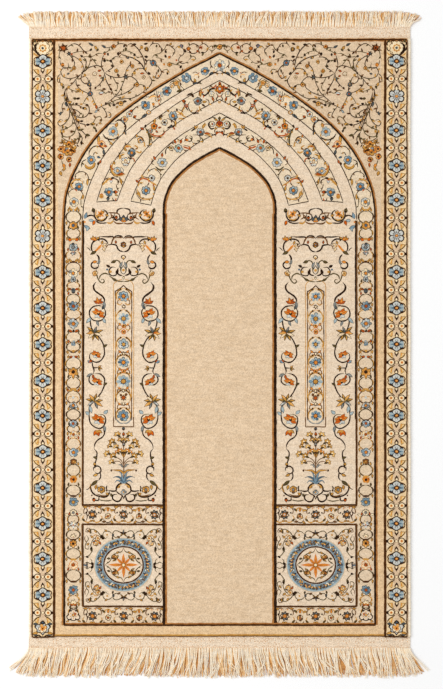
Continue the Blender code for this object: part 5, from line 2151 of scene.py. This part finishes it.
def make_stitches(fringe, material):
    """Short darker stitches in rows along a tape."""
    chance = random.Random(fringe["seed"] + 50)
    stitches = Yarn()
    for along, share in STITCH_ROWS:
        for x in np.arange(-RUG_HALF + 3, RUG_HALF - 3, RIB_PITCH):
            if chance.random() > share:
                continue
            y = PILE_END + along + chance.gauss(0, 1.0)
            half = chance.uniform(0.6, 1.3)
            sunk, crest = TAPE_TOP - 0.5, TAPE_TOP - 0.02
            path = np.array([(x, y - half, sunk), (x + 0.2, y, crest), (x, y + half, sunk)])
            stitches.add(*strand(path * (1, fringe["side"], 1), STITCH_RADIUS))
    return end_piece(fringe["name"] + "_stitches", stitches, material)


def end_piece(name, yarn, material):
    """The yarns of one layer of a fringe, or of its stitches, as one piece."""
    piece = mesh_piece(name, np.concatenate(yarn.corners) * MM, yarn.faces, material)
    plan_map(piece, *END_MAP)
    return piece


def strand(path, radius):
    """Corners and faces of one yarn along path, thinner towards its tip."""
    heading = unit(np.gradient(path, axis=0))
    sideways = unit(np.cross(heading, (0, 0, 1)))
    upwards = np.cross(sideways, heading)
    share = np.linspace(0, 1, len(path))
    width = radius * (1 - 0.4 * share**3)
    turns = np.linspace(0, 2 * math.pi, STRAND_SIDES, endpoint=False)
    rows = [
        p + w * (np.outer(np.cos(turns), a) + np.outer(np.sin(turns), b))
        for p, a, b, w in zip(path, sideways, upwards, width)
    ]
    return swept(rows)


def fan_angle(x, fringe):
    """How far the fringe leans outwards at x, in radians: a little overall, and most at a corner."""
    lean = fringe["lean"] * abs(x) / RUG_HALF + fringe["fan"] * math.exp(-(RUG_HALF - abs(x)) / FAN_REACH)
    return math.copysign(math.radians(lean), x)


def strand_path(x, fringe, chance, layer, lock, reach):
    """One yarn from the tape's edge to its tip. Yarns of one lock share its bends."""
    side = fringe["side"]
    length = fringe["length"] * lock["length"] * chance.uniform(0.95, 1.0) * reach
    angle = fan_angle(x, fringe) + lock["lean"]
    share = np.linspace(0, 1, STRAND_STEPS + 1)
    bend = lock["bend"] * np.sin(math.pi * share * lock["waves"] + lock["phase"]) * share
    bend = bend + lock["drift"] * share**1.5
    turn = angle * np.clip(share * 2.2, 0, 1) ** 0.7
    step = np.concatenate([[0.0], np.full(STRAND_STEPS, length / STRAND_STEPS)])
    px = x + np.cumsum(step * np.sin(turn)) + bend * np.cos(angle)
    py = PILE_END + TAPE_SHOWN - ROOT_LAP + np.cumsum(step * np.cos(turn)) - bend * np.sin(angle)
    # It arches over the yarns below it and sinks towards its tip.
    rise = np.sin(math.pi * share) ** 0.7
    pz = ROOT_HEIGHT + layer * LAYER_RISE + rise * lock["rise"] * (0.4 + 0.5 * layer)
    pz = pz * (1 - 0.35 * share**3)
    return np.column_stack([px, side * py, np.maximum(pz, LOWEST_YARN)])


def make_lock(x, fringe, chance, stray):
    """How the yarns of one lock lie: neighbouring locks lean much the same way."""
    looseness = stray * fringe["length"] / LOOSE_LENGTH
    swing = fringe["swing"] * math.sin(x / SWING_LENGTH)
    return {
        "lean": math.radians(chance.gauss(swing, 7.0 * stray)),
        "length": chance.uniform(0.93, 1.03),
        "bend": chance.gauss(0, 2.9) * looseness,
        "waves": chance.uniform(1.0, 2.6),
        "phase": chance.uniform(0, 6.3),
        "drift": chance.gauss(0, 2.8) * looseness,
        "rise": chance.uniform(0.3, 1.6),
    }


def make_fringe(fringe, materials):
    """Loose yarns in layers, the lower ones darker as painted shade: a full one below, whose honey colour is
    the painted shade between the locks, a middle one half in painted shade, and pale locks that lie over it.
    """
    made = []
    for layer, (label, pitch, yarns, radius, reach, stray) in enumerate(FRINGE_LAYERS):
        chance = random.Random(fringe["seed"] + layer)
        strands = Yarn()
        roots = np.arange(-RUG_HALF + 1.2, RUG_HALF - 1.0, pitch)
        # The locks are closer at the two corners, where they fan out.
        roots = np.concatenate([roots, roots[:CORNER_LOCKS] + pitch / 2, roots[-CORNER_LOCKS:] - pitch / 2])
        for x in roots:
            lock = make_lock(x, fringe, chance, stray)
            for k in range(yarns):
                root = x + (k - (yarns - 1) / 2) * STRAND_GAP + chance.uniform(-0.5, 0.5)
                root = min(max(root, -RUG_HALF + CORNER_GAP), RUG_HALF - CORNER_GAP)
                own = dict(lock, drift=lock["drift"] + chance.gauss(0, 1.5))
                own["phase"] += chance.uniform(-0.5, 0.5)
                path = strand_path(root, fringe, chance, layer, own, reach)
                strands.add(*strand(path, radius * chance.uniform(0.85, 1.15)))
        made.append(end_piece(fringe["name"] + "_" + label, strands, materials[label]))
    return made


def make_yarns():
    """One piece for each yarn that the pattern was drawn in."""
    made = []
    for name, yarn in YARNS.items():
        corners = np.concatenate(yarn.corners).tolist()
        material = yarn_material(name, *YARN_COLOURS[name])
        piece = mesh_piece("yarn_" + name, corners, yarn.faces, material)
        plan_map(piece, *PILE_MAP)
        made.append(piece)
    return made


def plan_map(obj, span, top, underside):
    """A map laid out as the piece is seen from above, span metres wide. top and underside are their places.

    It leans a little, so that upright faces have some width in it too.
    """
    mesh = obj.data
    places = np.empty(3 * len(mesh.vertices))
    mesh.vertices.foreach_get("co", places)
    places = places.reshape(-1, 3)
    corner = np.empty(len(mesh.loops), int)
    mesh.loops.foreach_get("vertex_index", corner)
    normals = np.empty(3 * len(mesh.polygons))
    mesh.polygons.foreach_get("normal", normals)
    totals = np.empty(len(mesh.polygons), int)
    mesh.polygons.foreach_get("loop_total", totals)
    down = np.repeat(normals[2::3] < FACES_DOWN, totals)
    middle = (places.min(0) + places.max(0)) / 2
    flat = (places[:, :2] - middle[:2] + MAP_LEAN * places[:, 2:]) / span
    spots = flat[corner] + np.where(down[:, None], underside, top)
    layer = mesh.uv_layers.new(name="OFBake")
    layer.uv.foreach_set("vector", spots.ravel())


def wound_map(obj, rows, around):
    """A map of a long round piece: stretches of it that lie side by side, and its two ends beside them."""
    stretches = WOUND_STRETCHES
    each = math.ceil((rows - 1) / stretches)
    spots = []
    for row in range(rows - 1):
        stretch, start = divmod(row, each)
        for column in range(around):
            for ahead, aside in ((0, 0), (0, 1), (1, 1), (1, 0)):
                share = 0.05 + 0.9 * (column + aside) / around
                spots += (0.01 + 0.94 * (start + ahead) / each, (stretch + share) / stretches)
    for cap in (0, 1):
        for turn in np.linspace(0, 2 * math.pi, around, endpoint=False):
            spots += (0.975 + 0.012 * math.cos(turn), (cap + 0.5) / stretches + 0.012 * math.sin(turn))
    layer = obj.data.uv_layers.new(name="OFBake")
    layer.uv.foreach_set("vector", spots)


# ---------------------------------------------------------------- light, floor and camera


def add_key():
    """One large soft light from the left."""
    data = bpy.data.lights.new("key", "AREA")
    data.shape = "SQUARE"
    data.size = KEY_SIZE
    data.energy = KEY_POWER
    light = bpy.data.objects.new("key", data)
    bpy.context.scene.collection.objects.link(light)
    light.location = KEY_PLACE
    light.rotation_euler = (-Vector(KEY_PLACE)).to_track_quat("-Z", "Y").to_euler()


def add_floor():
    bpy.ops.mesh.primitive_plane_add(size=FLOOR_SIZE, location=(0, 0, -FLOOR_DROP))
    floor = bpy.context.active_object
    floor.name = "floor"
    material = bpy.data.materials.new("floor")
    material.use_nodes = True
    shader = material.node_tree.nodes["Principled BSDF"]
    shader.inputs["Base Color"].default_value = (FLOOR_WHITE, FLOOR_WHITE, FLOOR_WHITE, 1)
    shader.inputs["Roughness"].default_value = 1.0
    floor.data.materials.append(material)


def add_light():
    """An even white sky, and the key light."""
    world = bpy.data.worlds.new("world")
    world.use_nodes = True
    background = world.node_tree.nodes["Background"]
    background.inputs["Color"].default_value = (1, 1, 1, 1)
    background.inputs["Strength"].default_value = SKY_STRENGTH
    bpy.context.scene.world = world
    add_key()


def add_camera():
    """Straight down, with the rug a little above the middle, as in the photograph."""
    data = bpy.data.cameras.new("camera")
    camera = bpy.data.objects.new("camera", data)
    bpy.context.scene.collection.objects.link(camera)
    data.lens = LENS
    data.sensor_fit = "VERTICAL"
    data.sensor_height = SENSOR_HEIGHT
    data.clip_end = 50
    x, y = VIEW_MIDDLE
    height = VIEW_LEVEL + VIEW_HEIGHT * LENS / SENSOR_HEIGHT
    camera.location = (x * MM, y * MM, height * MM)
    bpy.context.scene.camera = camera
    bpy.context.scene.view_settings.view_transform = "Standard"


def make_trims(finishes):
    """The overcast edges, tapes, stitches and fringes, each in the place of its CAD node."""
    trims = []
    for name, side in (("overcast_left", -1), ("overcast_right", 1)):
        edge = make_overcast(name, side, finishes["wool"])
        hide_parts(name)
        trims.append(edge)
    # The under and middle layers of each fringe are darker as painted shade below the pale locks.
    worn = {"under": finishes["honey_and_painted_shade"], "middle": finishes["half_shaded_cord"], "over": finishes["pale"]}
    for fringe in FRINGES:
        tape = make_tape(fringe["name"] + "_tape", fringe["side"], finishes["tape"])
        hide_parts(fringe["name"])
        trims += [tape, make_stitches(fringe, finishes["honey_and_painted_shade"])] + make_fringe(fringe, worn)
    return trims


def draw_pattern():
    """All that is woven into the pile, from the grounds up."""
    draw_grounds()
    draw_lines()
    draw_arches()
    draw_spandrels()
    for pen in both_sides():
        draw_outer_border(pen)
        draw_inner_band(pen)
        draw_panel(pen)
        draw_square(pen)
        for y, eyes in CROSS_BANDS:
            draw_cross_band(pen, y, eyes)


def main():
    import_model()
    finishes = {name: yarn_material(name, *YARN_COLOURS[name], grain) for name, grain in TRIM_GRAINS.items()}
    cloth = make_cloth(finishes["wheat"])
    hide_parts("pile_cloth")
    draw_pattern()
    trims = make_trims(finishes) + make_yarns()
    add_floor()
    add_light()
    add_camera()


main()
